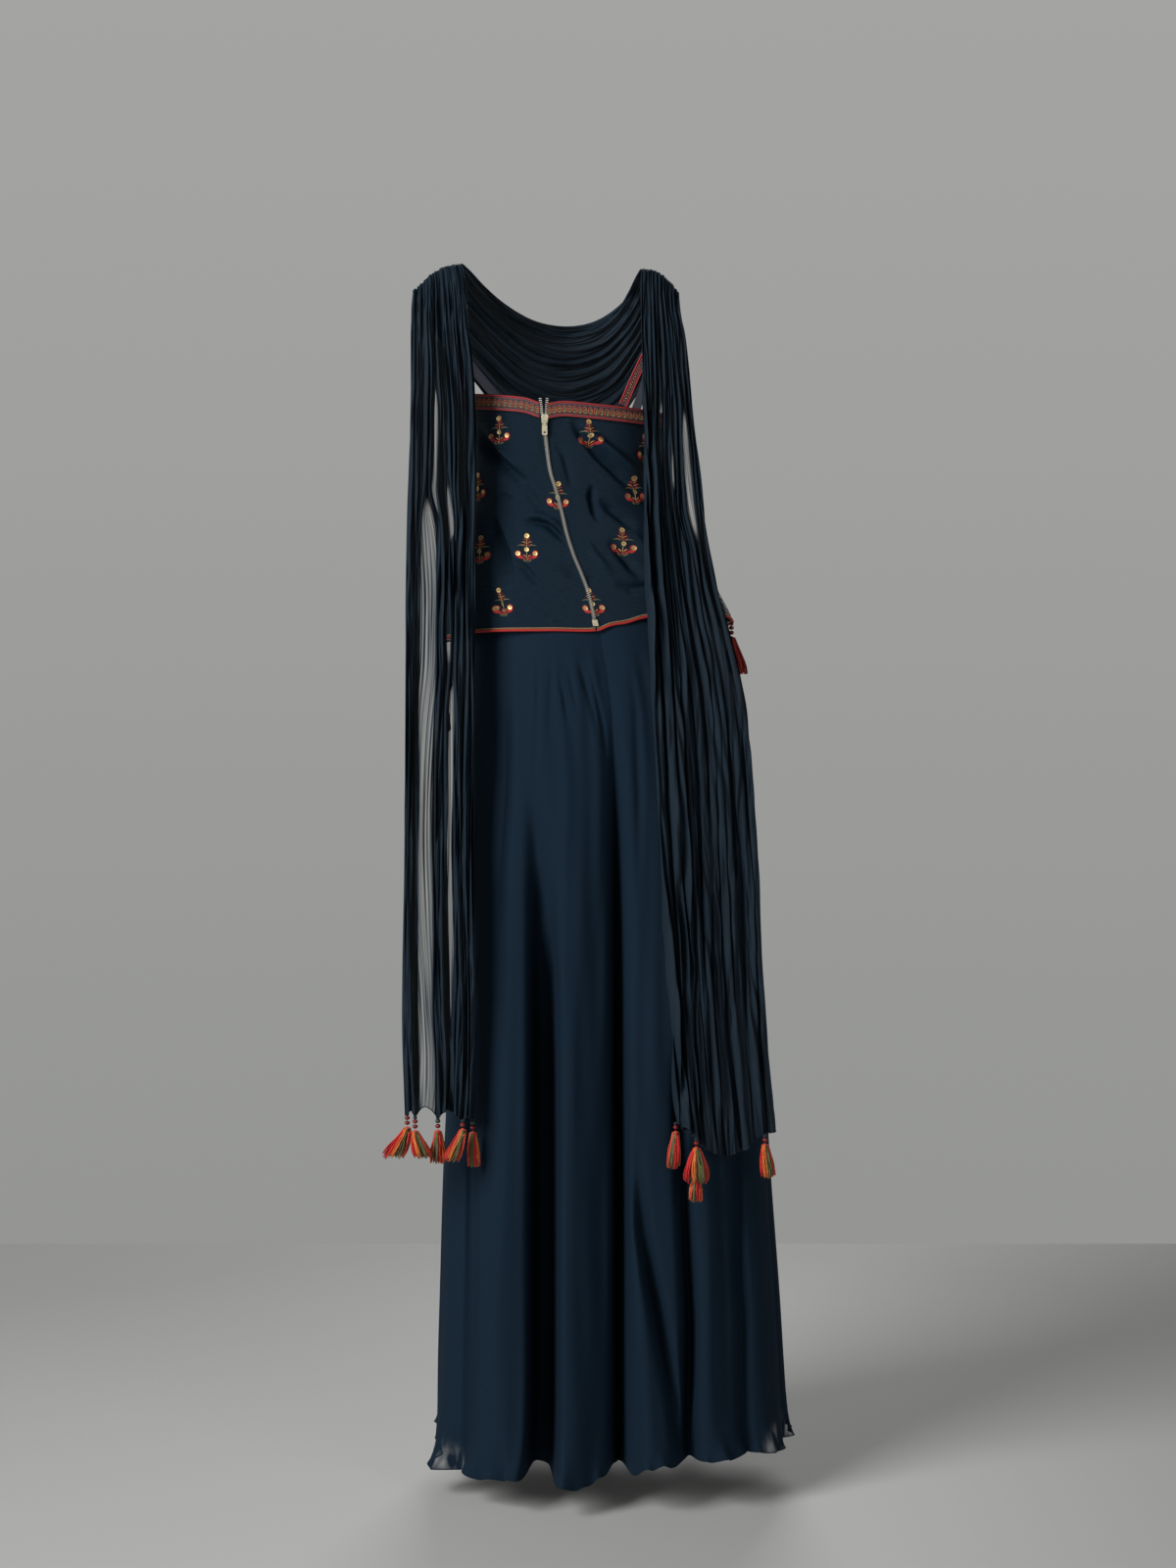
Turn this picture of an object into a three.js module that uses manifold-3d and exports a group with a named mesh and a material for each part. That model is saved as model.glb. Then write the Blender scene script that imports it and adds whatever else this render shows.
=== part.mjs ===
// Palazzo suit in its worn form on a general figure, hollow and open at neck, armholes and hems:
// a fitted top with a skewed back zip, palazzo trousers, and a pleated scarf falling down the back.
// Millimetres, +Z up. The wearer faces +Y and the wearer's right is +X.
// The origin is the centre of the trousers' waistband, 1120 mm above the floor.

import * as THREE from "three";
import { mergeVertices } from "three/addons/utils/BufferGeometryUtils.js";
import Module from "manifold-3d";

const wasm = await Module();
wasm.setup();

// Driving dimensions
const SEAM_GAP = 0.3;
const SILK = 1.2;
const GEORGETTE = 1.2;
const CHIFFON = 1.0;
const BAND_HEIGHT = 19;
const BAND_THICKNESS = 1.2;
const BAND_CLEAR = 4;
const BAND_GAP = 0.6;
const PIPING_GAP = 0.7;
const PIPING_HEIGHT = 4.6;
const PIPING_THICKNESS = 3.2;
const STRAP_WIDTH = 14;
const STRAP_THICKNESS = 1.8;
const STRAP_CLEAR = 0.6;
const WAISTBAND_TOP = 18;
const WAISTBAND_BOTTOM = -17;
const WAISTBAND_THICKNESS = 3;
const SECTION_POWER = 2.4;
const EDGE_MIDDLE = 218.5;
const EDGE_SLOPE = 12;
const EDGE_LEVEL = 220;
const CROTCH_START = -170;
const CROTCH_POINT = -330;
const DIVISION_OFFSET = 12;
const DIVISION_WIDTH = 16;
const SEAM_ALLOWANCE = 0.03;
const CHAIN_WIDTH = 6.4;
const CHAIN_THICKNESS = 2.2;
const CHAIN_GAP = 0.6;
const OPEN_ROW_WIDTH = 2.6;
const OPEN_ROW_SHIFT = 1.7;
const STOP_TOP = -43;
const STOP_BOTTOM = -50.8;
const SLIDER_Z = 196;
const SLIDER_HEIGHT = 11;
const SLIDER_DEPTH = 3.6;
const SLIDER_SEAT = 1;
const EAR_THICKNESS = 1.1;
const EAR_HEIGHT = 3.6;
const EAR_REACH = 3;
const TAB_LENGTH = 17;
const TAB_WIDTH = 6.4;
const TAB_NECK = 2.8;
const TAB_THICKNESS = 1.2;
const BEAD_RADIUS = 3.2;
const HEAD_RADIUS = 4.2;
const CORD_RADIUS = 1;
const LOCKS = 8;
const TIER_DROP = 28;
const TASSEL_GAP = 0.5;

// Colours
const NAVY_SILK = 0x16262f;
const NAVY_GEORGETTE = 0x18242f;
const NAVY_CHIFFON = 0x18252f;
const RED_BRAID = 0x9c2a22;
const BRASS = 0xb79b62;
const CORAL = 0xd8452f;
const ORANGE = 0xd6762f;
const OLIVE = 0x5b5f35;
const DARK_RED = 0x7c1c1e;

// Tables with named columns, kept in the order of their first column
function table(columns, rows) {
  const named = rows.map((row) => Object.fromEntries(columns.map((name, i) => [name, row[i]])));
  named.sort((a, b) => a[columns[0]] - b[columns[0]]);
  return { key: columns[0], rows: named };
}

function slope(rows, key, name, i) {
  const before = rows[Math.max(i - 1, 0)];
  const after = rows[Math.min(i + 1, rows.length - 1)];
  return (after[name] - before[name]) / (after[key] - before[key]);
}

// Smooth value of one column, level beyond both ends
function look({ key, rows }, name, at) {
  const last = rows.length - 1;
  const x = Math.min(Math.max(at, rows[0][key]), rows[last][key]);
  let i = 0;
  while (i < last - 1 && x > rows[i + 1][key]) i += 1;
  const a = rows[i];
  const b = rows[i + 1];
  const span = b[key] - a[key];
  const t = (x - a[key]) / span;
  const curve = new THREE.CubicBezierCurve(
    new THREE.Vector2(0, a[name]),
    new THREE.Vector2(1 / 3, a[name] + (slope(rows, key, name, i) * span) / 3),
    new THREE.Vector2(2 / 3, b[name] - (slope(rows, key, name, i + 1) * span) / 3),
    new THREE.Vector2(1, b[name]),
  );
  return curve.getPoint(t).y;
}

// The top's sections, from hem to upper edge
const TOP = table(["z", "centre", "halfWidth", "back", "front"], [
  [-72, 0, 180, 122, 118],
  [-43, -1, 178, 117.4, 115],
  [-4, -10, 168, 112, 110],
  [36, -17, 157, 106, 107],
  [77, -21, 137, 100, 108],
  [95, -25, 126, 98, 110],
  [150, -26, 122, 96, 112],
  [200, -28, 121, 92, 106],
  [235, -29, 119, 86, 96],
]);

// Height of the top's hem by angle from the back centre
const TOP_HEM = table(["angle", "z"], [
  [-180, -56], [-130, -62], [-90, -68], [-57, -54.6], [-22, -52], [5, -52], [13, -46], [22, -42.7],
  [31, -36.9], [52, -30], [72, -34], [87, -42.6], [125, -52], [180, -56],
]);

// The zip's skewed line, from hem to upper edge
const ZIP = table(["z", "x", "open"], [
  [-55, 10, 0], [-40, 7, 0], [-26, 3.5, 0], [-7, 0, 0], [12, -7, 0], [31, -17.5, 0], [57, -24.5, 0],
  [87, -31.6, 0], [112, -38, 0], [133, -44.5, 0], [160, -48.5, 0], [191, -51.5, 0], [224, -52.5, 5],
]);

// The trousers' sections, from hem to waist
const PALAZZO = table(["z", "centre", "halfWidth", "back", "front"], [
  [-1085, 29, 223, 167, 158],
  [-900, 27, 214, 157, 148],
  [-726, 23.3, 204.5, 147, 138],
  [-560, 23, 195, 140, 130],
  [-400, 23, 187, 136, 124],
  [-247, 22.5, 178, 132, 118],
  [-180, 17, 171, 130, 114],
  [-120, 11, 160, 127, 111],
  [-75, 5, 145, 122.1, 106],
  [-40, 2, 133, 114.2, 102],
  [-17, 0, 124, 100, 98],
]);

// Height of the trousers' hem by angle from the back centre
const PALAZZO_HEM = table(["angle", "z"], [
  [-180, -1062], [-120, -1060], [-92, -1066], [-74, -1082], [-48, -1076], [-30, -1073], [-12, -1079],
  [14, -1064], [41, -1052], [70, -1058], [92, -1063], [140, -1060], [180, -1062],
]);

// Hollows between the trousers' flutes, deepest at the hem
const HOLLOWS = [
  { angle: -84, depth: 14, width: 16, start: -500 },
  { angle: -59, depth: 26, width: 15, start: -300 },
  { angle: -30, depth: 60, width: 18, start: -520 },
  { angle: 26, depth: 40, width: 17, start: -420 },
  { angle: 53, depth: 24, width: 15, start: -380 },
  { angle: 80, depth: 16, width: 16, start: -500 },
  { angle: 106, depth: 22, width: 18, start: -400 },
  { angle: 130, depth: 34, width: 18, start: -350 },
  { angle: 154, depth: 28, width: 17, start: -420 },
  { angle: -154, depth: 30, width: 17, start: -380 },
  { angle: -130, depth: 34, width: 18, start: -420 },
  { angle: -106, depth: 20, width: 18, start: -450 },
];

// The valley between the two legs, and half the gap between their inner walls
const DIVISION = table(["z", "depth", "halfGap"], [
  [-1085, 46, 6], [-700, 34, 3.5], [-330, 18, 0.85], [-170, 9, 0.85], [-17, 4, 0.85],
]);

// Neck-side and outer edges of the scarf, from its left end over the left shoulder (step 10),
// round the front of the neck and over the right shoulder (step 20) to its right end
const SCARF = table(
  ["step", "innerX", "innerY", "innerZ", "outerX", "outerY", "outerZ", "pleat"],
  [
    [0, -138, -137, -642, -218, -137, -636, 11],
    [1, -134, -135, -500, -222, -135, -500, 12],
    [2, -138, -132, -320, -219, -132, -320, 12],
    [3, -136, -130, -140, -217, -130, -140, 12],
    [4, -135, -120, 10, -216, -120, 10, 12],
    [5, -134, -114, 130, -213, -114, 130, 10],
    [6, -136, -104, 240, -211, -104, 240, 8],
    [7, -143, -86, 300, -211, -86, 295, 6],
    [8, -147, -62, 345, -211, -62, 328, 5],
    [9, -152, -37, 377, -211, -38, 349, 4.5],
    [10, -155, -10, 389, -212, -14, 355, 4.5],
    [11, -146, 22, 386, -205, 28, 345, 4.5],
    [12, -128, 55, 368, -188, 72, 310, 5],
    [13, -100, 84, 345, -150, 112, 262, 6],
    [14, -66, 101, 328, -98, 138, 208, 7],
    [15, -29, 108, 322, -32, 147, 182, 7],
    [16, 8, 101, 328, 35, 138, 208, 7],
    [17, 36, 84, 345, 75, 112, 262, 6],
    [18, 53, 55, 364, 96, 72, 308, 5],
    [19, 62, 22, 380, 107, 28, 342, 4.5],
    [20, 65.6, -10, 383, 111, -14, 353, 4.5],
    [21, 65.3, -37, 371, 110, -37, 345, 4.5],
    [22, 65, -62, 345, 110, -58, 328, 5],
    [23, 65, -86, 300, 116, -78, 293, 6],
    [24, 66, -106, 240, 120, -92, 240, 8],
    [25, 67, -119, 130, 132, -99, 130, 10],
    [26, 69, -128, 10, 152, -102, 10, 12],
    [27, 76, -146, -140, 188, -104, -140, 14],
    [28, 86, -152, -320, 202, -105, -320, 15],
    [29, 98, -157, -500, 212, -111, -500, 15],
    [30, 109, -162, -642, 228, -116, -660, 14],
  ],
);
const SCARF_PLEATS = 10;
const LEFT_SHOULDER = 10;
const RIGHT_SHOULDER = 20;
const RIGHT_END = 30;

// How far the right fall's end dips below the line between its corners, across its width
const RIGHT_DIP = table(["across", "drop"], [
  [0, 0], [0.12, 14], [0.22, 24], [0.4, 34], [0.62, 27], [0.8, 8], [1, 0],
]);

// Centre lines of the straps from the back edge over the shoulder to the front edge
const RIGHT_STRAP = table(["step", "x", "y", "z", "outX", "outY", "outZ"], [
  [0, 42, -82, 213, 0.1, -1, 0.1],
  [1, 58, -85, 250, 0.1, -1, 0.2],
  [2, 76, -76, 287, 0.2, -1, 0.5],
  [3, 92, -55, 317, 0.3, -0.7, 0.8],
  [4, 103, -22, 347, 0.5, -0.1, 0.8],
  [5, 101, 14, 340, 0.5, 0.3, 0.8],
  [6, 94, 46, 310, 0.3, 0.8, 0.8],
  [7, 78, 70, 268, 0.2, 1, 0.4],
  [8, 58, 80, 212, 0.1, 1, 0.1],
]);
const LEFT_STRAP = table(["step", "x", "y", "z", "outX", "outY", "outZ"], [
  [0, -108, -76, 229, -0.1, -1, 0.1],
  [1, -124, -80, 262, -0.1, -1, 0.2],
  [2, -146, -73, 295, -0.2, -1, 0.5],
  [3, -172, -54, 326, -0.3, -0.7, 0.8],
  [4, -190, -22, 357, -0.5, -0.1, 0.8],
  [5, -188, 14, 349, -0.5, 0.3, 0.8],
  [6, -176, 46, 314, -0.3, 0.8, 0.8],
  [7, -146, 70, 272, -0.2, 1, 0.4],
  [8, -110, 84, 228, -0.1, 1, 0.1],
]);

// Small vector and angle helpers
const radians = THREE.MathUtils.degToRad;
const lerp = THREE.MathUtils.lerp;

function wrapDegrees(angle) {
  const degrees = THREE.MathUtils.radToDeg(angle);
  return THREE.MathUtils.euclideanModulo(degrees + 180, 360) - 180;
}

function spread(count) {
  return Array.from({ length: count + 1 }, (_, i) => i / count);
}

// The value between low and high where a rising function meets a target
function solve(rising, target, low, high) {
  let a = low;
  let b = high;
  for (let i = 0; i < 40; i += 1) {
    const middle = (a + b) / 2;
    if (rising(middle) < target) a = middle;
    else b = middle;
  }
  return (a + b) / 2;
}

// Closed solid from triangles, with its faces turned outward
function solid(points, triangles) {
  let volume = 0;
  for (const [a, b, c] of triangles) {
    volume += points[a].dot(points[b].clone().cross(points[c]));
  }
  const outward = volume > 0 ? triangles : triangles.map(([a, b, c]) => [a, c, b]);
  const geometry = new THREE.BufferGeometry();
  geometry.setFromPoints(points);
  geometry.setIndex(outward.flat());
  geometry.computeVertexNormals();
  return geometry;
}

// Closed wall of even thickness about a surface given by a function of two values.
// A wrapped wall joins its last column to its first.
function wall(surface, columns, rows, thickness, wraps = false) {
  const step = 1e-3;
  const half = thickness / 2;
  const count = columns.length;
  const points = [];
  for (const v of rows) {
    for (const u of columns) {
      const across = surface(u + step, v).sub(surface(u - step, v));
      const along = surface(u, v + step).sub(surface(u, v - step));
      const normal = across.cross(along).normalize();
      const middle = surface(u, v);
      points.push(middle.clone().addScaledVector(normal, half));
      points.push(middle.clone().addScaledVector(normal, -half));
    }
  }
  const at = (row, column, side) => (row * count + (column % count)) * 2 + side;
  const triangles = [];
  const quad = (a, b, c, d) => triangles.push([a, b, c], [a, c, d]);
  const spans = wraps ? count : count - 1;
  const lastRow = rows.length - 1;
  for (let r = 0; r < lastRow; r += 1) {
    for (let c = 0; c < spans; c += 1) {
      quad(at(r, c, 0), at(r, c + 1, 0), at(r + 1, c + 1, 0), at(r + 1, c, 0));
      quad(at(r, c, 1), at(r + 1, c, 1), at(r + 1, c + 1, 1), at(r, c + 1, 1));
    }
  }
  for (let c = 0; c < spans; c += 1) {
    quad(at(0, c + 1, 0), at(0, c, 0), at(0, c, 1), at(0, c + 1, 1));
    quad(at(lastRow, c, 0), at(lastRow, c + 1, 0), at(lastRow, c + 1, 1), at(lastRow, c, 1));
  }
  if (!wraps) {
    for (let r = 0; r < lastRow; r += 1) {
      quad(at(r, 0, 0), at(r + 1, 0, 0), at(r + 1, 0, 1), at(r, 0, 1));
      quad(at(r + 1, spans, 0), at(r, spans, 0), at(r, spans, 1), at(r + 1, spans, 1));
    }
  }
  return solid(points, triangles);
}

const group = new THREE.Group();

function add(name, geometry, color, roughness = 0.8, metalness = 0) {
  const material = new THREE.MeshStandardMaterial({ color, roughness, metalness });
  const mesh = new THREE.Mesh(geometry, material);
  mesh.name = name;
  group.add(mesh);
  return mesh;
}

// Rounded oblong section: the distance from its centre at an angle from the back centre
function reach(sections, angle, z) {
  const width = look(sections, "halfWidth", z);
  const depth = look(sections, Math.cos(angle) > 0 ? "back" : "front", z);
  const x = Math.abs(Math.sin(angle) / width) ** SECTION_POWER;
  const y = Math.abs(Math.cos(angle) / depth) ** SECTION_POWER;
  return (x + y) ** (-1 / SECTION_POWER);
}

function ringPoint(sections, angle, z, out = 0) {
  const radius = reach(sections, angle, z) + out;
  const centre = look(sections, "centre", z);
  return new THREE.Vector3(centre + radius * Math.sin(angle), -radius * Math.cos(angle), z);
}

// The top
function edgeHeight(angle) {
  const side = (reach(TOP, angle, EDGE_LEVEL) * Math.sin(angle)) / look(TOP, "halfWidth", EDGE_LEVEL);
  return EDGE_MIDDLE - EDGE_SLOPE * side;
}

function hemHeight(angle) {
  return look(TOP_HEM, "z", wrapDegrees(angle));
}

// Angle of a point on the top's back that lies at a given x
function backAngle(x, z) {
  const limit = radians(80);
  return solve((angle) => ringPoint(TOP, angle, z).x, x, -limit, limit);
}

// Angle of the zip opening's edge on one side (-1 left, 1 right), moved away by a distance
function zipAngle(side, z, away) {
  const x = look(ZIP, "x", z) + side * (look(ZIP, "open", z) + away);
  return backAngle(x, z);
}

// Panel of the top between two edges that may lean, from hem (v = 0) to upper edge (v = 1)
function topPanel(startAt, endAt, columns, rows) {
  const surface = (u, v) => {
    const guess = lerp(-54, 221, v);
    const angle = lerp(startAt(guess), endAt(guess), u);
    return ringPoint(TOP, angle, lerp(hemHeight(angle), edgeHeight(angle), v));
  };
  return wall(surface, spread(columns), spread(rows), SILK);
}

const QUARTER = Math.PI / 2;
const seamAngle = SEAM_GAP / 2 / 120;
const atLeftSide = (gap) => () => -QUARTER + gap;
const atRightSide = (gap) => () => QUARTER + gap;
const zipLeft = (z) => zipAngle(-1, z, SEAM_GAP / 2);
const zipRight = (z) => zipAngle(1, z, SEAM_GAP / 2);
const frontEnd = () => 3 * QUARTER - seamAngle;

add("top_back_left", topPanel(atLeftSide(seamAngle), zipLeft, 9, 9), NAVY_SILK, 0.45);
add("top_back_right", topPanel(zipRight, atRightSide(-seamAngle), 11, 9), NAVY_SILK, 0.45);
add("top_front", topPanel(atRightSide(seamAngle), frontEnd, 16, 9), NAVY_SILK, 0.45);

// Braid band round the upper edge, open at the zip
const BAND_OUT = SILK / 2 + BAND_GAP + BAND_THICKNESS / 2;

function bandSurface(u, v) {
  const start = zipAngle(1, EDGE_LEVEL, BAND_CLEAR);
  const end = zipAngle(-1, EDGE_LEVEL, BAND_CLEAR) + 4 * QUARTER;
  const angle = lerp(start, end, u);
  const z = edgeHeight(angle) - BAND_HEIGHT * (1 - v);
  const flare = 0.6;
  return ringPoint(TOP, angle, z, BAND_OUT + flare * (1 - v));
}

add("top_border_band", wall(bandSurface, spread(44), [0, 1], BAND_THICKNESS), RED_BRAID, 0.7);

// Corded piping below the hem, open at the zip
function pipingSurface(u, v) {
  const start = zipAngle(1, -55, 1);
  const end = zipAngle(-1, -55, 1) + 4 * QUARTER;
  const angle = lerp(start, end, u);
  const z = hemHeight(angle) - PIPING_GAP - PIPING_HEIGHT * (1 - v);
  return ringPoint(TOP, angle, z);
}

add("top_hem_piping", wall(pipingSurface, spread(56), [0, 1], PIPING_THICKNESS), RED_BRAID, 0.7);

// Straps, whose ends stand just above the top's upper edge
function strap(centreLine) {
  const last = centreLine.rows.length - 1;
  const point = (step) => new THREE.Vector3(...["x", "y", "z"].map((n) => look(centreLine, n, step)));
  const surface = (u, v) => {
    const step = v * last;
    const along = point(step + 0.01).sub(point(step - 0.01)).normalize();
    const out = new THREE.Vector3(...["outX", "outY", "outZ"].map((n) => look(centreLine, n, step)));
    const across = out.cross(along).normalize();
    const place = point(step).addScaledVector(across, STRAP_WIDTH * (u - 0.5));
    const angle = Math.atan2(place.x - look(TOP, "centre", EDGE_LEVEL), -place.y);
    place.z = Math.max(place.z, edgeHeight(angle) + STRAP_CLEAR);
    return place;
  };
  return wall(surface, [0, 1], spread(16), STRAP_THICKNESS);
}

add("strap_right", strap(RIGHT_STRAP), RED_BRAID, 0.7);
add("strap_left", strap(LEFT_STRAP), RED_BRAID, 0.7);

// Zip: closed tooth chain, two open tooth rows above the slider, and the bottom stop
const CHAIN_OUT = SILK / 2 + CHAIN_GAP + CHAIN_THICKNESS / 2;
const zipLine = (z) => look(ZIP, "x", z);
const openRow = (side) => (z) => zipLine(z) + side * (look(ZIP, "open", z) + OPEN_ROW_SHIFT);

function zipStrip(width, low, high, count, lineAt) {
  const surface = (u, v) => {
    const z = lerp(low, high, v);
    return ringPoint(TOP, backAngle(lineAt(z) + width * (u - 0.5), z), z, CHAIN_OUT);
  };
  return wall(surface, [0, 1], spread(count), CHAIN_THICKNESS);
}

const sliderLow = SLIDER_Z - SLIDER_HEIGHT / 2;
const sliderHigh = SLIDER_Z + SLIDER_HEIGHT / 2;
const openRowTop = EDGE_MIDDLE + 3;
add("zip_chain", zipStrip(CHAIN_WIDTH, STOP_TOP, sliderLow - SEAM_GAP, 22, zipLine), BRASS, 0.35, 0.9);
add("zip_bottom_stop", zipStrip(CHAIN_WIDTH, STOP_BOTTOM, STOP_TOP - SEAM_GAP, 1, zipLine), BRASS, 0.35, 0.9);
for (const [name, side] of [["zip_open_row_left", -1], ["zip_open_row_right", 1]]) {
  const row = zipStrip(OPEN_ROW_WIDTH, sliderHigh + SEAM_GAP, openRowTop, 4, openRow(side));
  add(name, row, BRASS, 0.35, 0.9);
}

// Joining of closed solids
function toManifold(geometry) {
  const bare = geometry.clone();
  bare.deleteAttribute("normal");
  bare.deleteAttribute("uv");
  const closed = mergeVertices(bare, 1e-4);
  const vertProperties = new Float32Array(closed.attributes.position.array);
  const triVerts = new Uint32Array(closed.index.array);
  return new wasm.Manifold(new wasm.Mesh({ numProp: 3, vertProperties, triVerts }));
}

function fromManifold(manifold) {
  const mesh = manifold.getMesh();
  const geometry = new THREE.BufferGeometry();
  geometry.setAttribute("position", new THREE.BufferAttribute(new Float32Array(mesh.vertProperties), 3));
  geometry.setIndex(Array.from(mesh.triVerts));
  geometry.computeVertexNormals();
  return geometry;
}

function joined(geometries) {
  return fromManifold(geometries.map(toManifold).reduce((all, next) => all.add(next)));
}

// Plate cut from an outline in x and z, standing out from a back face at a given y
function plate(outline, depth, backY) {
  const geometry = new THREE.ExtrudeGeometry(outline, { depth, bevelEnabled: false, curveSegments: 6 });
  geometry.rotateX(Math.PI / 2);
  geometry.translate(0, backY, 0);
  return geometry;
}

function polygon(points) {
  return new THREE.Shape(points.map(([x, z]) => new THREE.Vector2(x, z)));
}

// Slider: a tapered block with two ears that carry the pull tab
const sliderSeat = ringPoint(TOP, backAngle(zipLine(SLIDER_Z), SLIDER_Z), SLIDER_Z);
const sliderBack = sliderSeat.y - SILK / 2 - SLIDER_SEAT;
const sliderFront = sliderBack - SLIDER_DEPTH;
const hinge = new THREE.Vector3(sliderSeat.x, sliderFront - EAR_REACH / 2, sliderLow + 3);

function slider() {
  const high = SLIDER_HEIGHT / 2;
  const block = plate(
    polygon([[-3.2, -high], [3.2, -high], [4.4, high - 2], [3.4, high], [-3.4, high], [-4.4, high - 2]]),
    SLIDER_DEPTH,
    sliderBack,
  );
  block.translate(sliderSeat.x, 0, SLIDER_Z);
  const ears = [-1, 1].map((side) => {
    const ear = new THREE.BoxGeometry(EAR_THICKNESS, EAR_REACH + 0.4, EAR_HEIGHT);
    const x = hinge.x + side * (TAB_NECK / 2 + SEAM_GAP + EAR_THICKNESS / 2);
    ear.translate(x, hinge.y + 0.2, hinge.z);
    return ear;
  });
  return joined([block, ...ears]);
}

add("zip_slider", slider(), BRASS, 0.35, 0.9);

// Pull tab: a narrow neck between the slider's ears, and a plate with a round hole
function pullTab() {
  const neck = TAB_NECK / 2;
  const half = TAB_WIDTH / 2;
  const outline = polygon([
    [-neck, 0.8], [-neck, -3.4], [-half, -5], [-half, -TAB_LENGTH + 1.5], [-half + 1.5, -TAB_LENGTH],
    [half - 1.5, -TAB_LENGTH], [half, -TAB_LENGTH + 1.5], [half, -5], [neck, -3.4], [neck, 0.8],
  ]);
  const hole = new THREE.Path();
  hole.absarc(0, -TAB_LENGTH + 3.6, 1.4, 0, 2 * Math.PI, true);
  outline.holes.push(hole);
  const tab = plate(outline, TAB_THICKNESS, hinge.y + TAB_THICKNESS / 2);
  tab.translate(hinge.x, 0, hinge.z);
  return fromManifold(toManifold(tab));
}

add("zip_pull_tab", pullTab(), BRASS, 0.3, 0.9);

// The trousers' waistband
function waistbandSurface(u, v) {
  const angle = 2 * Math.PI * u;
  const point = ringPoint(PALAZZO, angle, WAISTBAND_BOTTOM);
  point.z = lerp(WAISTBAND_BOTTOM, WAISTBAND_TOP, v);
  return point;
}

add(
  "palazzo_waistband",
  wall(waistbandSurface, spread(32).slice(0, -1), [0, 1], WAISTBAND_THICKNESS, true),
  NAVY_GEORGETTE,
);

// The trousers' legs
const LEG_TOP = WAISTBAND_BOTTOM - SEAM_GAP;
const LEG_BOTTOM = -1070;
const LEG_LEVELS = [
  LEG_TOP, -45, -85, -130, CROTCH_START, -225, -275, -308, CROTCH_POINT, -430, -550, -680, -810, -930,
  LEG_BOTTOM,
];

function hollowDepth(angle, z) {
  let total = 0;
  for (const { angle: at, depth, width, start } of HOLLOWS) {
    const strength = THREE.MathUtils.clamp((start - z) / (start - LEG_BOTTOM), 0, 1.05) ** 1.3;
    const turn = radians(wrapDegrees(angle - radians(at)));
    const arc = turn * reach(PALAZZO, radians(at), z);
    total += depth * strength * Math.exp(-((arc / width) ** 2));
  }
  return total;
}

// Angle at which a leg's outer wall meets the division, on the back or the front
function divisionAngle(side, back, z) {
  const target = DIVISION_OFFSET + side * look(DIVISION, "halfGap", z);
  const depth = look(DIVISION, "depth", z);
  const away = (turn) => (back ? turn : Math.PI - turn);
  const across = (turn) => (reach(PALAZZO, away(turn), z) - depth) * Math.sin(turn);
  const turn = solve(across, target, -0.3, 0.3);
  if (back) return turn;
  return side > 0 ? Math.PI - turn : -Math.PI - turn;
}

// Point of a leg panel: s runs 0 to 1 from the side seam to the division, 1 to 2 to the inseam
function legPoint(side, back, s, z, level) {
  const end = divisionAngle(side, back, level);
  const seam = side * (QUARTER + (back ? -seamAngle : seamAngle));
  const angle = lerp(seam, end, Math.min(s, 1));
  const arc = Math.abs(angle - end) * reach(PALAZZO, end, level);
  const valley = look(DIVISION, "depth", level) * Math.exp(-arc / DIVISION_WIDTH);
  const point = ringPoint(PALAZZO, angle, z, -hollowDepth(angle, level) - valley);
  if (s > 1) {
    const inseam = (back ? -SEAM_GAP : SEAM_GAP) / 2;
    point.y = lerp(point.y, inseam, s - 1);
  }
  return point;
}

// How far the inner wall reaches from the division to the inseam at a level.
// Above the crotch only a narrow seam allowance turns in.
function crotchReach(level) {
  const t = THREE.MathUtils.clamp((CROTCH_START - level) / (CROTCH_START - CROTCH_POINT), 0, 1);
  return lerp(SEAM_ALLOWANCE, 1, t * t);
}

function legSurface(side, back) {
  return (u, v) => {
    const level = lerp(LEG_TOP, LEG_BOTTOM, v);
    const s = Math.min(2 * u, 1) + Math.max(2 * u - 1, 0) * crotchReach(level);
    const end = divisionAngle(side, back, level);
    const angle = lerp(side * QUARTER, end, Math.min(s, 1));
    const hem = look(PALAZZO_HEM, "z", wrapDegrees(angle));
    return legPoint(side, back, s, lerp(LEG_TOP, hem, v), level);
  };
}

// Columns spaced evenly along a stretch of a surface's last row
function evenColumns(surface, from, to, count) {
  const fine = 400;
  const shares = spread(fine).map((share) => lerp(from, to, share));
  const lengths = [0];
  for (let i = 1; i <= fine; i += 1) {
    lengths.push(lengths[i - 1] + surface(shares[i], 1).distanceTo(surface(shares[i - 1], 1)));
  }
  return spread(count).map((share) => {
    const goal = share * lengths[fine];
    return shares[lengths.findIndex((length) => length >= goal - 1e-9)];
  });
}

const legRows = LEG_LEVELS.map((z) => (LEG_TOP - z) / (LEG_TOP - LEG_BOTTOM));
for (const [sideName, side] of [["left", -1], ["right", 1]]) {
  for (const [faceName, back] of [["back", true], ["front", false]]) {
    const surface = legSurface(side, back);
    const columns = [...evenColumns(surface, 0, 0.5, 15), ...evenColumns(surface, 0.5, 1, 5).slice(1)];
    const panel = wall(surface, columns, legRows, GEORGETTE);
    add(`palazzo_${faceName}_${sideName}`, panel, NAVY_GEORGETTE);
  }
}

// The scarf
function scarfEdge(edge, step) {
  return new THREE.Vector3(...["X", "Y", "Z"].map((axis) => look(SCARF, edge + axis, step)));
}

function scarfMiddle(across, step) {
  return scarfEdge("inner", step).lerp(scarfEdge("outer", step), across);
}

const pleatShift = (share) => 0.018 * Math.sin(6 * Math.PI * share);

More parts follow.
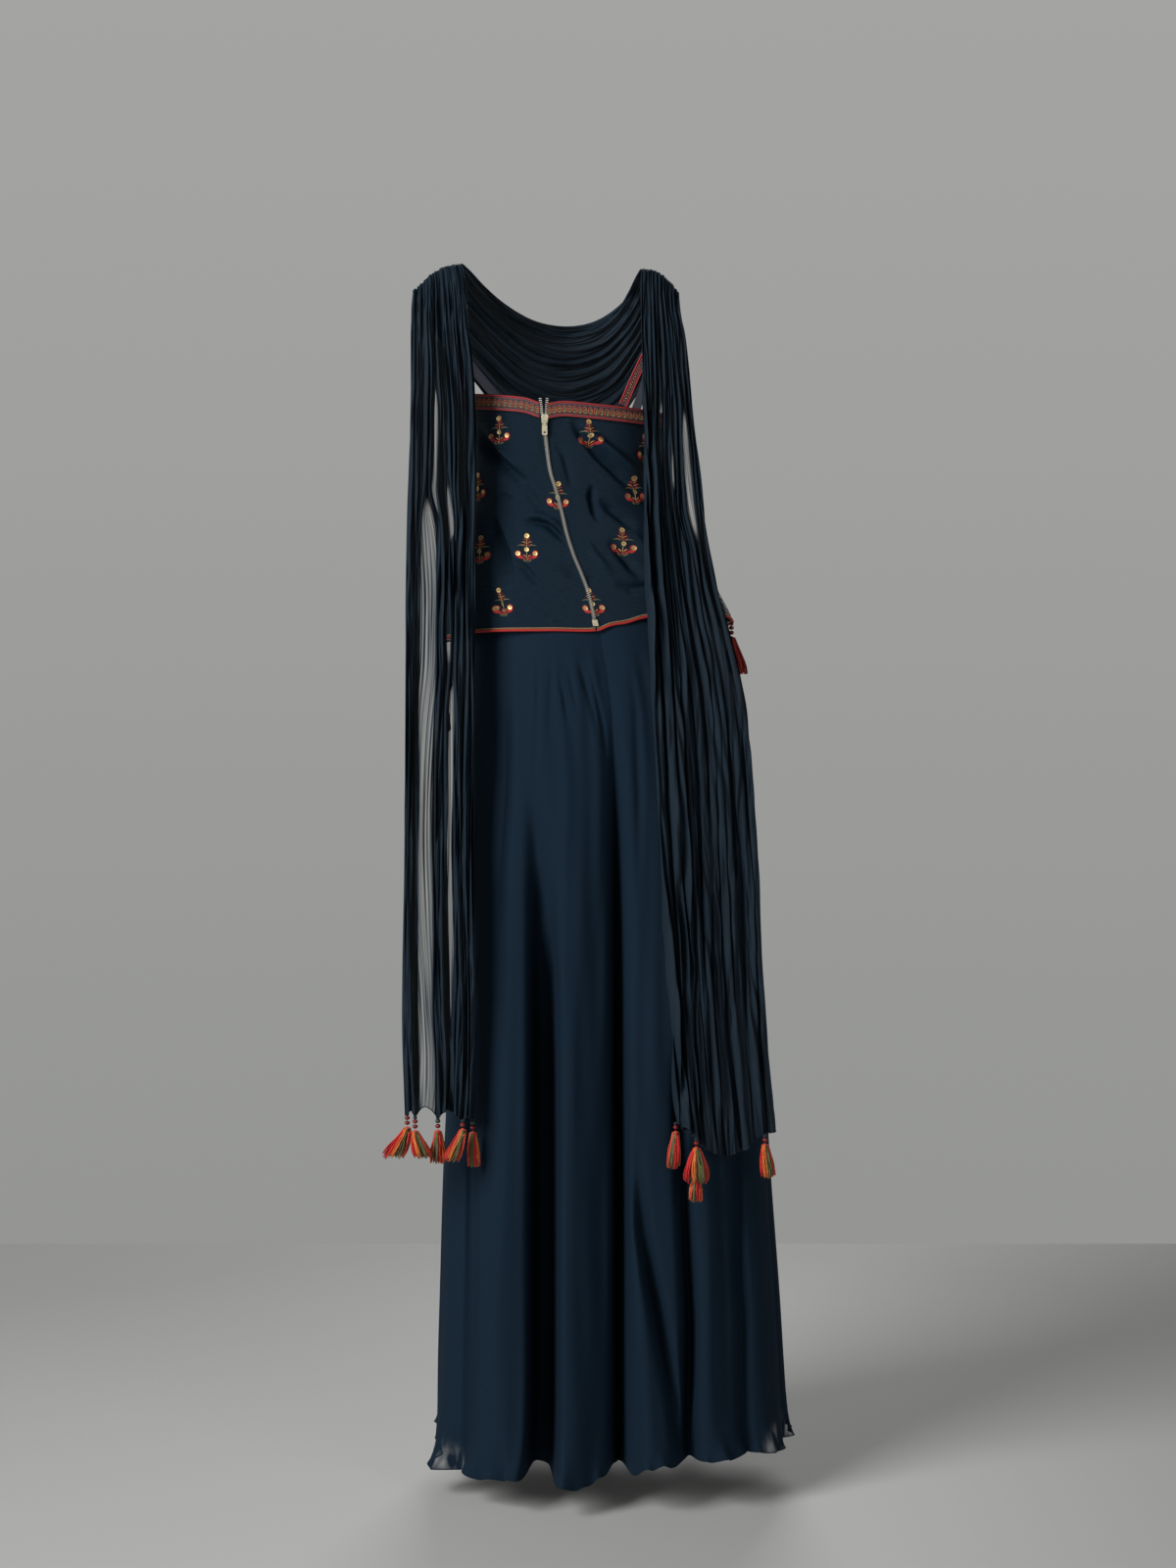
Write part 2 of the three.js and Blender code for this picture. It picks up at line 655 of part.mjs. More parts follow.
function scarfPoint(across, step) {
  const width = scarfEdge("outer", step).sub(scarfEdge("inner", step));
  const along = scarfMiddle(across, step + 0.02).sub(scarfMiddle(across, step - 0.02));
  const normal = width.cross(along).normalize();
  const wave = Math.cos(2 * Math.PI * SCARF_PLEATS * (across + pleatShift(across)));
  const point = scarfMiddle(across, step).addScaledVector(normal, look(SCARF, "pleat", step) * wave);
  const nearEnd = Math.max((step - RIGHT_SHOULDER) / (RIGHT_END - RIGHT_SHOULDER), 0) ** 9;
  point.z -= look(RIGHT_DIP, "drop", across) * nearEnd;
  return point;
}

function scarfPiece(steps) {
  const first = steps[0];
  const span = steps[steps.length - 1] - first;
  const surface = (u, v) => scarfPoint(u, first + span * v);
  const columns = spread(4 * SCARF_PLEATS).map((share) => solve((u) => u + pleatShift(u), share, -0.1, 1.1));
  return wall(surface, columns, steps.map((step) => (step - first) / span), CHIFFON);
}

const FOLD_GAP = 0.012;
const leftTop = LEFT_SHOULDER - FOLD_GAP;
const rightTop = RIGHT_SHOULDER + FOLD_GAP;
add("dupatta_left_fall", scarfPiece([0, 1, 2.5, 4, 5, 6, 7, 8, 9, leftTop]), NAVY_CHIFFON);
const drapeStart = LEFT_SHOULDER + FOLD_GAP;
const drapeEnd = RIGHT_SHOULDER - FOLD_GAP;
const drapeSteps = [drapeStart, 11, 12.2, 13.4, 14.5, 15.5, 16.6, 17.8, 19, drapeEnd];
add("dupatta_front_drape", scarfPiece(drapeSteps), NAVY_CHIFFON);
add("dupatta_right_fall", scarfPiece([rightTop, 21, 22, 23, 24, 25, 26, 27.5, 29, RIGHT_END]), NAVY_CHIFFON);

// Tassels: a cord with beads, and one or more heads with locks of thread fused into them
function bead(radius, x, y, z) {
  const ball = new THREE.SphereGeometry(radius, 6, 3);
  ball.rotateX(QUARTER);
  ball.translate(x, y, z);
  return ball;
}

function lock(from, to) {
  const span = to.clone().sub(from);
  const strand = new THREE.CylinderGeometry(1.8, 0.9, span.length(), 3);
  strand.translate(0, span.length() / 2, 0);
  const turn = new THREE.Quaternion().setFromUnitVectors(new THREE.Vector3(0, 1, 0), span.normalize());
  strand.applyQuaternion(turn);
  strand.translate(from.x, from.y, from.z);
  return strand;
}

function tassel(top, tiers) {
  const pieces = [];
  let z = top.z;
  for (const { beads, locks, length, spreadOut, lean } of tiers) {
    for (let i = 0; i < beads; i += 1) {
      z -= BEAD_RADIUS * 1.9;
      pieces.push(bead(BEAD_RADIUS, top.x, top.y, z + BEAD_RADIUS * 0.4));
    }
    z -= HEAD_RADIUS * 1.7;
    pieces.push(bead(HEAD_RADIUS, top.x, top.y, z));
    const root = new THREE.Vector3(top.x, top.y, z - HEAD_RADIUS * 0.5);
    for (let i = 0; i < locks; i += 1) {
      const turn = (2 * Math.PI * i) / locks;
      const from = root.clone().add(new THREE.Vector3(2.2 * Math.cos(turn), 2.2 * Math.sin(turn), 0));
      const to = root.clone();
      to.x += spreadOut * Math.cos(turn) + lean;
      to.y += spreadOut * Math.sin(turn);
      to.z -= length * (0.93 + 0.07 * Math.cos(3 * turn));
      pieces.push(lock(from, to));
    }
    z -= TIER_DROP;
  }
  const cordBottom = z + TIER_DROP;
  const cord = new THREE.CylinderGeometry(CORD_RADIUS, CORD_RADIUS, top.z - cordBottom, 4);
  cord.rotateX(QUARTER);
  cord.translate(top.x, top.y, (top.z + cordBottom) / 2);
  return joined([cord, ...pieces]);
}

const tier = (beads, length, spreadOut, lean) => ({ beads, locks: LOCKS, length, spreadOut, lean });
const SCARF_TASSELS = [
  { name: "tassel_left_1", step: 0, across: 0.995, lower: 0, color: ORANGE, tiers: [tier(2, 31, 10, -16)] },
  { name: "tassel_left_2", step: 0, across: 0.86, lower: 0, color: CORAL, tiers: [tier(2, 27, 8, 9)] },
  { name: "tassel_left_3", step: 0, across: 0.53, lower: 0, color: CORAL, tiers: [tier(2, 36, 7.5, 0)] },
  { name: "tassel_left_4", step: 0, across: 0.15, lower: 0, color: ORANGE, tiers: [tier(1, 33, 7.5, -12)] },
  { name: "tassel_left_5", step: 0, across: 0.005, lower: 0, color: CORAL, tiers: [tier(2, 36, 7.5, 1)] },
  { name: "tassel_right_1", step: 30, across: 0.005, lower: 0, color: CORAL, tiers: [tier(1, 38, 7.5, -3)] },
  {
    name: "tassel_right_2",
    step: 30,
    across: 0.13,
    lower: 0.5,
    color: OLIVE,
    tiers: [tier(1, 36, 15, 0), tier(0, 24, 8, 0)],
  },
  { name: "tassel_right_3", step: 30, across: 0.84, lower: 0, color: ORANGE, tiers: [tier(1, 34, 8.5, 4)] },
];
for (const { name, step, across, lower, color, tiers } of SCARF_TASSELS) {
  const top = scarfPoint(across, step);
  top.z -= TASSEL_GAP + lower;
  add(name, tassel(top, tiers), color, 0.9);
}

// Tassels at the two corners of the top's hem
const pipingDrop = PIPING_GAP + PIPING_HEIGHT + TASSEL_GAP;
for (const [name, side, tiers] of [
  ["latkan_right", 1, [tier(2, 29, 9, 9)]],
  ["latkan_left", -1, [tier(3, 30, 7, 4), tier(2, 33, 7, 3)]],
]) {
  const top = ringPoint(TOP, side * QUARTER, -43);
  top.z = hemHeight(side * QUARTER) - pipingDrop;
  add(name, tassel(top, tiers), DARK_RED, 0.9);
}

export default group;
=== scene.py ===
"""Palazzo suit in its worn form: embroidered silk top, georgette palazzo and crinkled chiffon scarf.

Lengths are millimetres until a piece's mesh is made, which turns them into metres.
The wearer faces +Y, +X is the wearer's right and the origin is the centre of the waistband.
"""
import math
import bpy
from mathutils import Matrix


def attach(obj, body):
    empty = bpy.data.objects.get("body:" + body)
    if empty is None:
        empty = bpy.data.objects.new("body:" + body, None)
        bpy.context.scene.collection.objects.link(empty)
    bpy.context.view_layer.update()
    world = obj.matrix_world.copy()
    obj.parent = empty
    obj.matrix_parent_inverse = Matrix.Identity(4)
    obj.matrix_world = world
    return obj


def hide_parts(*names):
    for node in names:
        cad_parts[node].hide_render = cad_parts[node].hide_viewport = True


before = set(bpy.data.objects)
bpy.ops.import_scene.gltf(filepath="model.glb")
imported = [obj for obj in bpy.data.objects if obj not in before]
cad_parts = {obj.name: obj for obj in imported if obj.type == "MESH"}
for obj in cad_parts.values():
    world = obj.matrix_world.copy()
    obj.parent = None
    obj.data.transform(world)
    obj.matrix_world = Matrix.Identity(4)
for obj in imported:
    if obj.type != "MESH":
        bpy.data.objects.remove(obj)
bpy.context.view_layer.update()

import bpy
import numpy as np
from mathutils import Vector

MM = 0.001
BODY = "suit"

# Camera and floor
CAMERA_PLACE = (0, -3.574, -0.010)
CAMERA_TILT = 3.80
CAMERA_LENS = 66.42
SENSOR = 36
FLOOR_LEVEL = -1.120
FLOOR_HALF = 1.3
# The floor's colour: a painted pool of light in its middle, fading to painted shade toward its edges
FLOOR_PAINTED_LIGHT = (0.58, 0.582, 0.566)
FLOOR_PAINTED_SHADE = (0.47, 0.472, 0.46)

# Driving dimensions, the same as the solids have
SECTION_POWER = 2.4
EDGE_MIDDLE = 218.5
EDGE_SLOPE = 12
EDGE_LEVEL = 220
BAND_HEIGHT = 19
BAND_CLEAR = 1.5
BAND_OUT = 1.8
PIPING_GAP = 0.7
PIPING_HEIGHT = 4.6
WAISTBAND_TOP = 18
WAISTBAND_BOTTOM = -17
CROTCH_START = -170
CROTCH_POINT = -330
DIVISION_WIDTH = 16
SHADED_WIDTH = 26
GROOVE = 40
GROOVE_WIDTH = 8
SEAM_ALLOWANCE = 0.03
LEG_TOP = -17.3
LEG_BOTTOM = -1070
STRAP_WIDTH = 11
SCARF_PLEATS = 10
LEFT_SHOULDER = 10
RIGHT_SHOULDER = 20
RIGHT_END = 30
CHAIN_OUT = 2.3
STOP_TOP = -43
SLIDER_Z = 196
SLIDER_HEIGHT = 11
BEAD_RADIUS = 3.2
HEAD_RADIUS = 4.2
TIER_DROP = 28
QUARTER = math.pi / 2
FULL = 2 * math.pi
POLE_TILT = 0.12
STEEP_FROM = 60


def table(columns, rows):
    """Named columns of numbers, in the order of the first one."""
    ordered = np.array(sorted(rows), float)
    named = {name: ordered[:, i] for i, name in enumerate(columns)}
    named["key"] = ordered[:, 0]
    return named


def look(source, name, at):
    """Smooth value of one column, level beyond both ends."""
    keys, values = source["key"], source[name]
    count = len(keys)
    x = np.clip(np.asarray(at, float), keys[0], keys[-1])
    i = np.clip(np.searchsorted(keys, x, side="right") - 1, 0, count - 2)
    before = np.maximum(np.arange(count) - 1, 0)
    after = np.minimum(np.arange(count) + 1, count - 1)
    slopes = (values[after] - values[before]) / (keys[after] - keys[before])
    span = keys[i + 1] - keys[i]
    t = (x - keys[i]) / span
    rest = 1 - t
    a, b = values[i], values[i + 1]
    c = a + slopes[i] * span / 3
    d = b - slopes[i + 1] * span / 3
    return rest**3 * a + 3 * rest**2 * t * c + 3 * rest * t**2 * d + t**3 * b


TOP = table(["z", "centre", "halfWidth", "back", "front"], [
    (-72, 0, 180, 122, 118), (-43, -1, 178, 117.4, 115), (-4, -10, 168, 112, 110),
    (36, -17, 157, 106, 107), (77, -21, 137, 100, 108), (95, -25, 126, 98, 110),
    (150, -26, 122, 96, 112), (200, -28, 121, 92, 106), (235, -29, 119, 86, 96),
])
TOP_HEM = table(["angle", "z"], [
    (-180, -56), (-130, -62), (-90, -68), (-57, -54.6), (-22, -52), (5, -52), (13, -46), (22, -42.7),
    (31, -36.9), (52, -30), (72, -34), (87, -42.6), (125, -52), (180, -56),
])
ZIP = table(["z", "x", "open"], [
    (-55, 10, 0), (-40, 7, 0), (-26, 4, 0), (-7, -1, 0), (12, -8, 0), (31, -16, 0), (57, -24.5, 0),
    (87, -31.6, 0), (112, -38, 0), (133, -44.5, 0), (160, -48.5, 0), (191, -51.5, 0), (224, -52.5, 2.6),
])
PALAZZO = table(["z", "centre", "halfWidth", "back", "front"], [
    (-1085, 29, 223, 167, 158), (-900, 27, 214, 157, 148), (-726, 23.3, 204.5, 147, 138),
    (-560, 23, 195, 140, 130), (-400, 23, 187, 136, 124), (-247, 22.5, 178, 132, 118),
    (-180, 17, 172, 130, 114), (-120, 11, 162, 127, 111), (-75, 5, 150, 122.1, 106),
    (-40, 2, 139, 114.2, 102), (-17, 0, 124, 100, 98),
])
PALAZZO_HEM = table(["angle", "z"], [
    (-180, -1062), (-120, -1060), (-92, -1066), (-74, -1082), (-48, -1076), (-30, -1073), (-12, -1079),
    (14, -1064), (41, -1052), (70, -1058), (92, -1063), (140, -1060), (180, -1062),
])
# Hollows between the flutes: angle from the back centre, depth, half width and the level they start at
HOLLOWS = [
    (-84, 14, 16, -500), (-59, 26, 15, -300), (53, 24, 15, -380), (80, 16, 16, -500), (106, 22, 18, -400),
    (130, 34, 18, -350), (154, 28, 17, -420), (-154, 30, 17, -380), (-130, 34, 18, -420),
    (-106, 20, 18, -450),
]
DIVISION = table(["z", "depth"], [(-1085, 46), (-700, 34), (-330, 18), (-170, 9), (-17, 4)])
SCARF = table(["step", "innerX", "innerY", "innerZ", "outerX", "outerY", "outerZ", "pleat"], [
    (0, -138, -137, -642, -218, -137, -636, 11), (1, -134, -135, -500, -222, -135, -500, 12),
    (2, -138, -132, -320, -219, -132, -320, 12), (3, -136, -130, -140, -217, -130, -140, 12),
    (4, -135, -120, 10, -216, -120, 10, 12), (5, -134, -114, 130, -213, -114, 130, 10),
    (6, -136, -104, 240, -211, -104, 240, 8), (7, -143, -86, 300, -211, -86, 295, 6),
    (8, -147, -62, 345, -211, -62, 328, 5), (9, -152, -37, 377, -211, -38, 349, 4.5),
    (10, -155, -10, 389, -212, -14, 355, 4.5), (11, -146, 22, 386, -205, 28, 345, 4.5),
    (12, -128, 55, 368, -188, 72, 310, 5), (13, -100, 84, 345, -150, 112, 262, 6),
    (14, -66, 101, 328, -98, 138, 208, 7), (15, -29, 108, 322, -32, 147, 182, 7),
    (16, 8, 101, 328, 35, 138, 208, 7), (17, 36, 84, 345, 75, 112, 262, 6),
    (18, 53, 55, 364, 96, 72, 308, 5), (19, 62, 22, 380, 107, 28, 342, 4.5),
    (20, 65.6, -10, 383, 111, -14, 353, 4.5), (21, 65.3, -37, 371, 110, -37, 345, 4.5),
    (22, 65, -62, 345, 110, -58, 328, 5), (23, 65, -86, 300, 116, -78, 293, 6),
    (24, 66, -106, 240, 120, -92, 240, 8), (25, 67, -119, 130, 132, -99, 130, 10),
    (26, 69, -128, 10, 152, -102, 10, 12), (27, 76, -146, -140, 188, -104, -140, 14),
    (28, 86, -152, -320, 202, -105, -320, 15), (29, 98, -157, -500, 212, -111, -500, 15),
    (30, 109, -162, -642, 228, -116, -660, 14),
])
RIGHT_DIP = table(["across", "drop"], [
    (0, 0), (0.12, 14), (0.22, 24), (0.4, 34), (0.62, 27), (0.8, 8), (1, 0),
])
# The left end's hem rises between its tassels
LEFT_LIFT = table(["across", "lift"], [
    (0, 0), (0.08, 5), (0.15, 0), (0.26, 6), (0.36, 10), (0.45, 6), (0.53, 0), (0.62, 8), (0.72, 12),
    (0.80, 7), (0.86, 0), (0.93, 6), (1, 0),
])
STRAP_COLUMNS = ["step", "x", "y", "z", "outX", "outY", "outZ"]
RIGHT_STRAP = table(STRAP_COLUMNS, [
    (0, 42, -82, 213, 0.1, -1, 0.1), (1, 58, -85, 250, 0.1, -1, 0.2), (2, 76, -76, 287, 0.2, -1, 0.5),
    (3, 92, -55, 317, 0.3, -0.7, 0.8), (4, 103, -22, 347, 0.5, -0.1, 0.8),
    (5, 101, 14, 340, 0.5, 0.3, 0.8), (6, 94, 46, 310, 0.3, 0.8, 0.8), (7, 78, 70, 268, 0.2, 1, 0.4),
    (8, 58, 80, 212, 0.1, 1, 0.1),
])
LEFT_STRAP = table(STRAP_COLUMNS, [
    (0, -146, -31, 222, -0.8, -0.6, 0.1), (1, -153, -42, 258, -0.7, -0.7, 0.2),
    (2, -163, -50, 293, -0.5, -0.8, 0.5), (3, -172, -50, 326, -0.3, -0.7, 0.8),
    (4, -190, -22, 357, -0.5, -0.1, 0.8), (5, -188, 14, 349, -0.5, 0.3, 0.8),
    (6, -176, 46, 314, -0.3, 0.8, 0.8), (7, -146, 70, 272, -0.2, 1, 0.4),
    (8, -110, 84, 228, -0.1, 1, 0.1),
])


# Vectors are arrays whose last axis is x, y, z
def vec(x, y, z):
    return np.stack(np.broadcast_arrays(x, y, z), axis=-1).astype(float)


def pair(u, v):
    """Two values side by side in a last axis."""
    return np.stack(np.broadcast_arrays(u, v), axis=-1)


def circle(count):
    """Angles evenly round a full turn."""
    return np.linspace(0, FULL, count, endpoint=False)


def around(centre, radius, turn):
    """Points x and y round a centre."""
    return centre[0] + radius * np.cos(turn), centre[1] + radius * np.sin(turn)


def lengths(path):
    """The length of a path of points up to each of them."""
    return np.concatenate([[0], np.cumsum(np.linalg.norm(np.diff(path, axis=0), axis=1))])


def unit(v):
    return v / np.maximum(np.linalg.norm(v, axis=-1, keepdims=True), 1e-12)


def read(source, names, at):
    """Three columns of a table as a vector."""
    return vec(*[look(source, name, at) for name in names])


def lerp(a, b, t):
    return a + (b - a) * t


def smooth(x, low, high):
    """0 below low, 1 above high and an even curve between."""
    t = np.clip((x - low) / (high - low), 0, 1)
    return t * t * (3 - 2 * t)


def wrap_degrees(angle):
    return np.mod(np.degrees(angle) + 180, 360) - 180


def solve(rising, target, low, high):
    """Where a rising function meets each target, between low and high."""
    target = np.asarray(target, float)
    a = np.full(target.shape, float(low))
    b = np.full(target.shape, float(high))
    for _ in range(34):
        middle = (a + b) / 2
        under = rising(middle) < target
        a = np.where(under, middle, a)
        b = np.where(under, b, middle)
    return (a + b) / 2


def waves(seed, count, across, along):
    """A smooth uneven field of two values, mostly between -1 and 1, from waves of up to the given counts."""
    rng = np.random.default_rng(seed)
    across_counts = rng.uniform(-across, across, count)
    along_counts = rng.uniform(-along, along, count)
    phases = rng.uniform(0, FULL, count)

    def field(u, v):
        total = 0
        for a, b, phase in zip(across_counts, along_counts, phases):
            total = total + np.cos(FULL * (a * u + b * v) + phase)
        return total / math.sqrt(count)

    return field


def add_object(name, data):
    thing = bpy.data.objects.new(name, data)
    bpy.context.scene.collection.objects.link(thing)
    return thing


class Mesh:
    """Gathers the faces of one piece, each with a material's number, then makes its object."""

    def __init__(self, name):
        self.name = name
        self.points, self.corners, self.sizes, self.marks, self.uvs, self.sheer = [], [], [], [], [], []
        self.count = 0

    def add_faces(self, faces, mark):
        self.corners.append(faces.ravel())
        self.sizes.append(np.full(len(faces), faces.shape[1]))
        self.marks.append(np.full(len(faces), mark))

    def grid(self, points, wraps=False, mark=0, uv=None, sheer=None):
        rows, columns = points.shape[:2]
        index = np.arange(rows * columns).reshape(rows, columns) + self.count
        if wraps:
            index = np.concatenate([index, index[:, :1]], axis=1)
        quads = np.stack([index[:-1, :-1], index[:-1, 1:], index[1:, 1:], index[1:, :-1]], axis=-1)
        self.points.append(points.reshape(-1, 3))
        self.add_faces(quads.reshape(-1, 4), mark)
        if uv is None:
            uv = np.zeros((rows, columns, 2))
        self.uvs.append(uv.reshape(-1, 2))
        self.sheer.append(np.zeros(rows * columns) if sheer is None else np.ravel(sheer))
        self.count += rows * columns

    def cap(self, start, count, mark, turned=False):
        """One face over a ring of the points that the next grid adds."""
        ring = np.arange(self.count + start, self.count + start + count)
        self.add_faces((ring[::-1] if turned else ring)[None], mark)

    def tube(self, path, radius, sides=6, mark=0, closed=False, up=(0, 0, 1), flat=1.0):
        """A tube along a path of points. radius may be one value for each point."""
        path = np.asarray(path, float)
        if closed:
            along = unit(np.roll(path, -1, 0) - np.roll(path, 1, 0))
        else:
            along = unit(np.gradient(path, axis=0))
        side = unit(np.cross(along, np.broadcast_to(np.asarray(up, float), path.shape)))
        over = np.cross(side, along)
        turn = circle(sides)
        reach_out = np.broadcast_to(np.asarray(radius, float), path.shape[:1])[:, None, None]
        turned = turn[None, :, None]
        ring = side[:, None] * np.cos(turned) + flat * over[:, None] * np.sin(turned)
        points = path[:, None] + reach_out * ring
        uv = pair(turn[None, :], lengths(path)[:, None]) * MM
        if closed:
            points = np.concatenate([points, points[:1]])
            uv = np.concatenate([uv, uv[:1]])
        else:
            self.cap(0, sides, mark, True)
            self.cap((len(path) - 1) * sides, sides, mark)
        self.grid(points, wraps=True, mark=mark, uv=uv)

    def ball(self, centre, radii, mark=0, sides=10, rings=7):
        """A ball, or an oval with three radii, closed at both poles."""
        tilt = np.linspace(POLE_TILT, math.pi - POLE_TILT, rings)[:, None]
        turn = circle(sides)[None, :]
        shape = vec(np.sin(tilt) * np.cos(turn), np.sin(tilt) * np.sin(turn), -np.cos(tilt))
        self.cap(0, sides, mark, True)
        self.cap((rings - 1) * sides, sides, mark)
        self.grid(np.asarray(centre) + shape * np.asarray(radii, float), wraps=True, mark=mark)

    def make(self, looks, node=None, flat_faces=False):
        """The piece's object, which rides on the suit and replaces a node where one is given."""
        mesh = bpy.data.meshes.new(self.name)
        corners, sizes = np.concatenate(self.corners), np.concatenate(self.sizes)
        mesh.vertices.add(self.count)
        mesh.vertices.foreach_set("co", (np.concatenate(self.points) * MM).ravel())
        mesh.loops.add(len(corners))
        mesh.loops.foreach_set("vertex_index", corners)
        mesh.polygons.add(len(sizes))
        mesh.polygons.foreach_set("loop_start", np.cumsum(sizes) - sizes)
        mesh.polygons.foreach_set("material_index", np.concatenate(self.marks))
        mesh.polygons.foreach_set("use_smooth", np.full(len(sizes), not flat_faces))
        mesh.uv_layers.new(name="cloth").data.foreach_set("uv", np.concatenate(self.uvs)[corners].ravel())
        sheer = mesh.attributes.new("sheer", "FLOAT", "POINT")
        sheer.data.foreach_set("value", np.concatenate(self.sheer).astype(np.float32))
        for look_name in looks:
            mesh.materials.append(LOOKS[look_name])
        mesh.update(calc_edges=True)
        piece = add_object(self.name, mesh)
        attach(piece, BODY)
        if node:
            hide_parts(node)
        return piece


# Materials, by name
LOOKS = {}
WEAVE_RELIEF = 0.0004
THREAD_RELIEF = 0.0002
ROUGH_SPREAD = 0.16
STREAK_GAIN = 3.5
SHEEN_TINT = (0.25, 0.5, 0.8, 1)


def link(tree, value, socket):
    if isinstance(value, bpy.types.NodeSocket):
        tree.links.new(value, socket)
    else:
        socket.default_value = value


def feed(tree, node, inputs):
    for name, value in inputs.items():
        link(tree, value, node.inputs[name])


def new_material(name):
    material = bpy.data.materials.new(name)
    material.use_nodes = True
    tree = material.node_tree
    return material, tree, tree.nodes["Principled BSDF"]


def add_node(tree, kind, inputs=None, **settings):
    """A node with its settings, and its inputs given as values or as other nodes' outputs."""
    node = tree.nodes.new(kind)
    for name, value in settings.items():
        setattr(node, name, value)
    feed(tree, node, inputs or {})
    return node


def math_node(tree, operation, *values, clamp=False):
    node = tree.nodes.new("ShaderNodeMath")
    node.operation = operation
    node.use_clamp = clamp
    for socket, value in zip(node.inputs, values):
        link(tree, value, socket)
    return node.outputs[0]


def stretched(tree, scale):
    """The cloth's own coordinates in metres, stretched by a scale for each direction."""
    place = tree.nodes.new("ShaderNodeUVMap")
    place.uv_map = "cloth"
    return add_node(tree, "ShaderNodeMapping", {"Vector": place.outputs[0], "Scale": scale}).outputs[0]


def noise(tree, scale, vector=None, detail=2.0):
    if vector is None:
        vector = tree.nodes.new("ShaderNodeTexCoord").outputs["Object"]
    inputs = {"Vector": vector, "Scale": scale, "Detail": detail, "Roughness": 0.55}
    return add_node(tree, "ShaderNodeTexNoise", inputs).outputs["Fac"]


def ramp(tree, factor, stops):
    node = add_node(tree, "ShaderNodeValToRGB", {"Fac": factor})
    ends = node.color_ramp.elements
    while len(ends) < len(stops):
        ends.new(0.5)
    for element, (place, color) in zip(ends, stops):
        element.position = place
        element.color = (*color, 1)
    return node.outputs[0]


def uneven(tree, factor, color, spread, edge):
    """A colour that a factor makes darker and lighter by up to a share of it."""
    low, high = (tuple(min(c * gain, 1) for c in color) for gain in (1 - spread, 1 + spread))
    return ramp(tree, factor, [(edge, low), (1 - edge, high)])


def weave_height(tree, pitch, slub):
    """Height of a plain weave with the given thread pitch in metres, and its uneven threads."""
    parts = add_node(tree, "ShaderNodeSeparateXYZ", {"Vector": stretched(tree, (1, 1, 1))}).outputs
    turns = [math_node(tree, "MULTIPLY", part, FULL / pitch) for part in parts[:2]]
    threads = math_node(tree, "MULTIPLY", *[math_node(tree, "SINE", turn) for turn in turns])
    slubs = noise(tree, 1.0, stretched(tree, slub), detail=4.0)
    return math_node(tree, "ADD", math_node(tree, "MULTIPLY", threads, 0.25), slubs)


def cloth_material(
    name, color, roughness, gloss, sheen, pitch, slub, bump, contrast, sheer_alpha=None, streaks=(1, 1, 1)
):
    """Woven cloth: uneven colour along its threads, a weave in relief and a soft sheen."""
    material, tree, shader = new_material(name)
    mottle = noise(tree, 1.0, stretched(tree, slub), detail=5.0)
    height = weave_height(tree, pitch, slub)
    relief = {"Height": height, "Strength": bump, "Distance": WEAVE_RELIEF}
    feed(tree, shader, {
        "Base Color": uneven(tree, mottle, color, contrast, 0.3),
        "Roughness": math_node(tree, "MULTIPLY_ADD", mottle, ROUGH_SPREAD, roughness - ROUGH_SPREAD / 2),
        "Normal": add_node(tree, "ShaderNodeBump", relief).outputs[0],
        "Sheen Weight": sheen,
        "Sheen Roughness": 0.4,
        "Sheen Tint": SHEEN_TINT,
        "Specular IOR Level": gloss,
    })
    if sheer_alpha is not None:
        see = add_node(tree, "ShaderNodeAttribute", attribute_name="sheer").outputs["Fac"]
        dense, thin = sheer_alpha
        alpha = math_node(tree, "MULTIPLY_ADD", see, thin - dense, dense)
        lines = noise(tree, 1.0, stretched(tree, streaks))
        dark = math_node(tree, "MULTIPLY", math_node(tree, "SUBTRACT", lines, 0.5), see)
        alpha = math_node(tree, "MULTIPLY_ADD", dark, STREAK_GAIN, alpha, clamp=True)
        link(tree, alpha, shader.inputs["Alpha"])
    LOOKS[name] = material


def thread_material(name, color, roughness=0.75, sheen=0.05, metallic=0.0, spread=0.25, grain=900):
    """Loose or stitched thread: a slight change of colour and a fine grain along it."""
    material, tree, shader = new_material(name)
    change = noise(tree, grain)
    relief = {"Height": change, "Strength": 0.35, "Distance": THREAD_RELIEF}
    feed(tree, shader, {
        "Base Color": uneven(tree, change, color, spread, 0.35),
        "Normal": add_node(tree, "ShaderNodeBump", relief).outputs[0],
        "Roughness": roughness,
        "Metallic": metallic,
        "Sheen Weight": sheen,
    })
    LOOKS[name] = material


NAVY_SILK = (0.0062, 0.0170, 0.0300)
NAVY_GEORGETTE = (0.0085, 0.0195, 0.0345)
NAVY_CHIFFON = (0.0115, 0.0225, 0.0350)
cloth_material("silk", NAVY_SILK, 0.46, 0.09, 0.0, 0.0005, (90, 900, 1), 0.8, 0.38)
cloth_material(
    "georgette", NAVY_GEORGETTE, 0.80, 0.05, 0.0, 0.0006, (900, 240, 1), 0.40, 0.10, (1.0, 0.90), (60, 20, 1)
)
cloth_material(
    "chiffon", NAVY_CHIFFON, 0.70, 0.15, 0.01, 0.0005, (620, 14, 1), 0.55, 0.16, (0.99, 0.46), (620, 5, 1)
)
THREADS = {
    "navy": (0.010, 0.016, 0.026), "red": (0.47, 0.020, 0.018), "pink": (0.42, 0.075, 0.07),
    "rust": (0.40, 0.090, 0.034), "orange": (0.58, 0.17, 0.035), "tan": (0.36, 0.25, 0.11),
    "cream": (0.42, 0.36, 0.20), "green": (0.105, 0.125, 0.055), "olive": (0.115, 0.115, 0.040),
    "dark_red": (0.24, 0.010, 0.010), "deep_red": (0.32, 0.016, 0.012),
}
for look_name, color in THREADS.items():
    thread_material(look_name + "_thread", color)
TASSEL_THREADS = {
    "coral": (0.62, 0.060, 0.028), "bright_red": (0.56, 0.014, 0.010), "amber": (0.62, 0.150, 0.022),
}
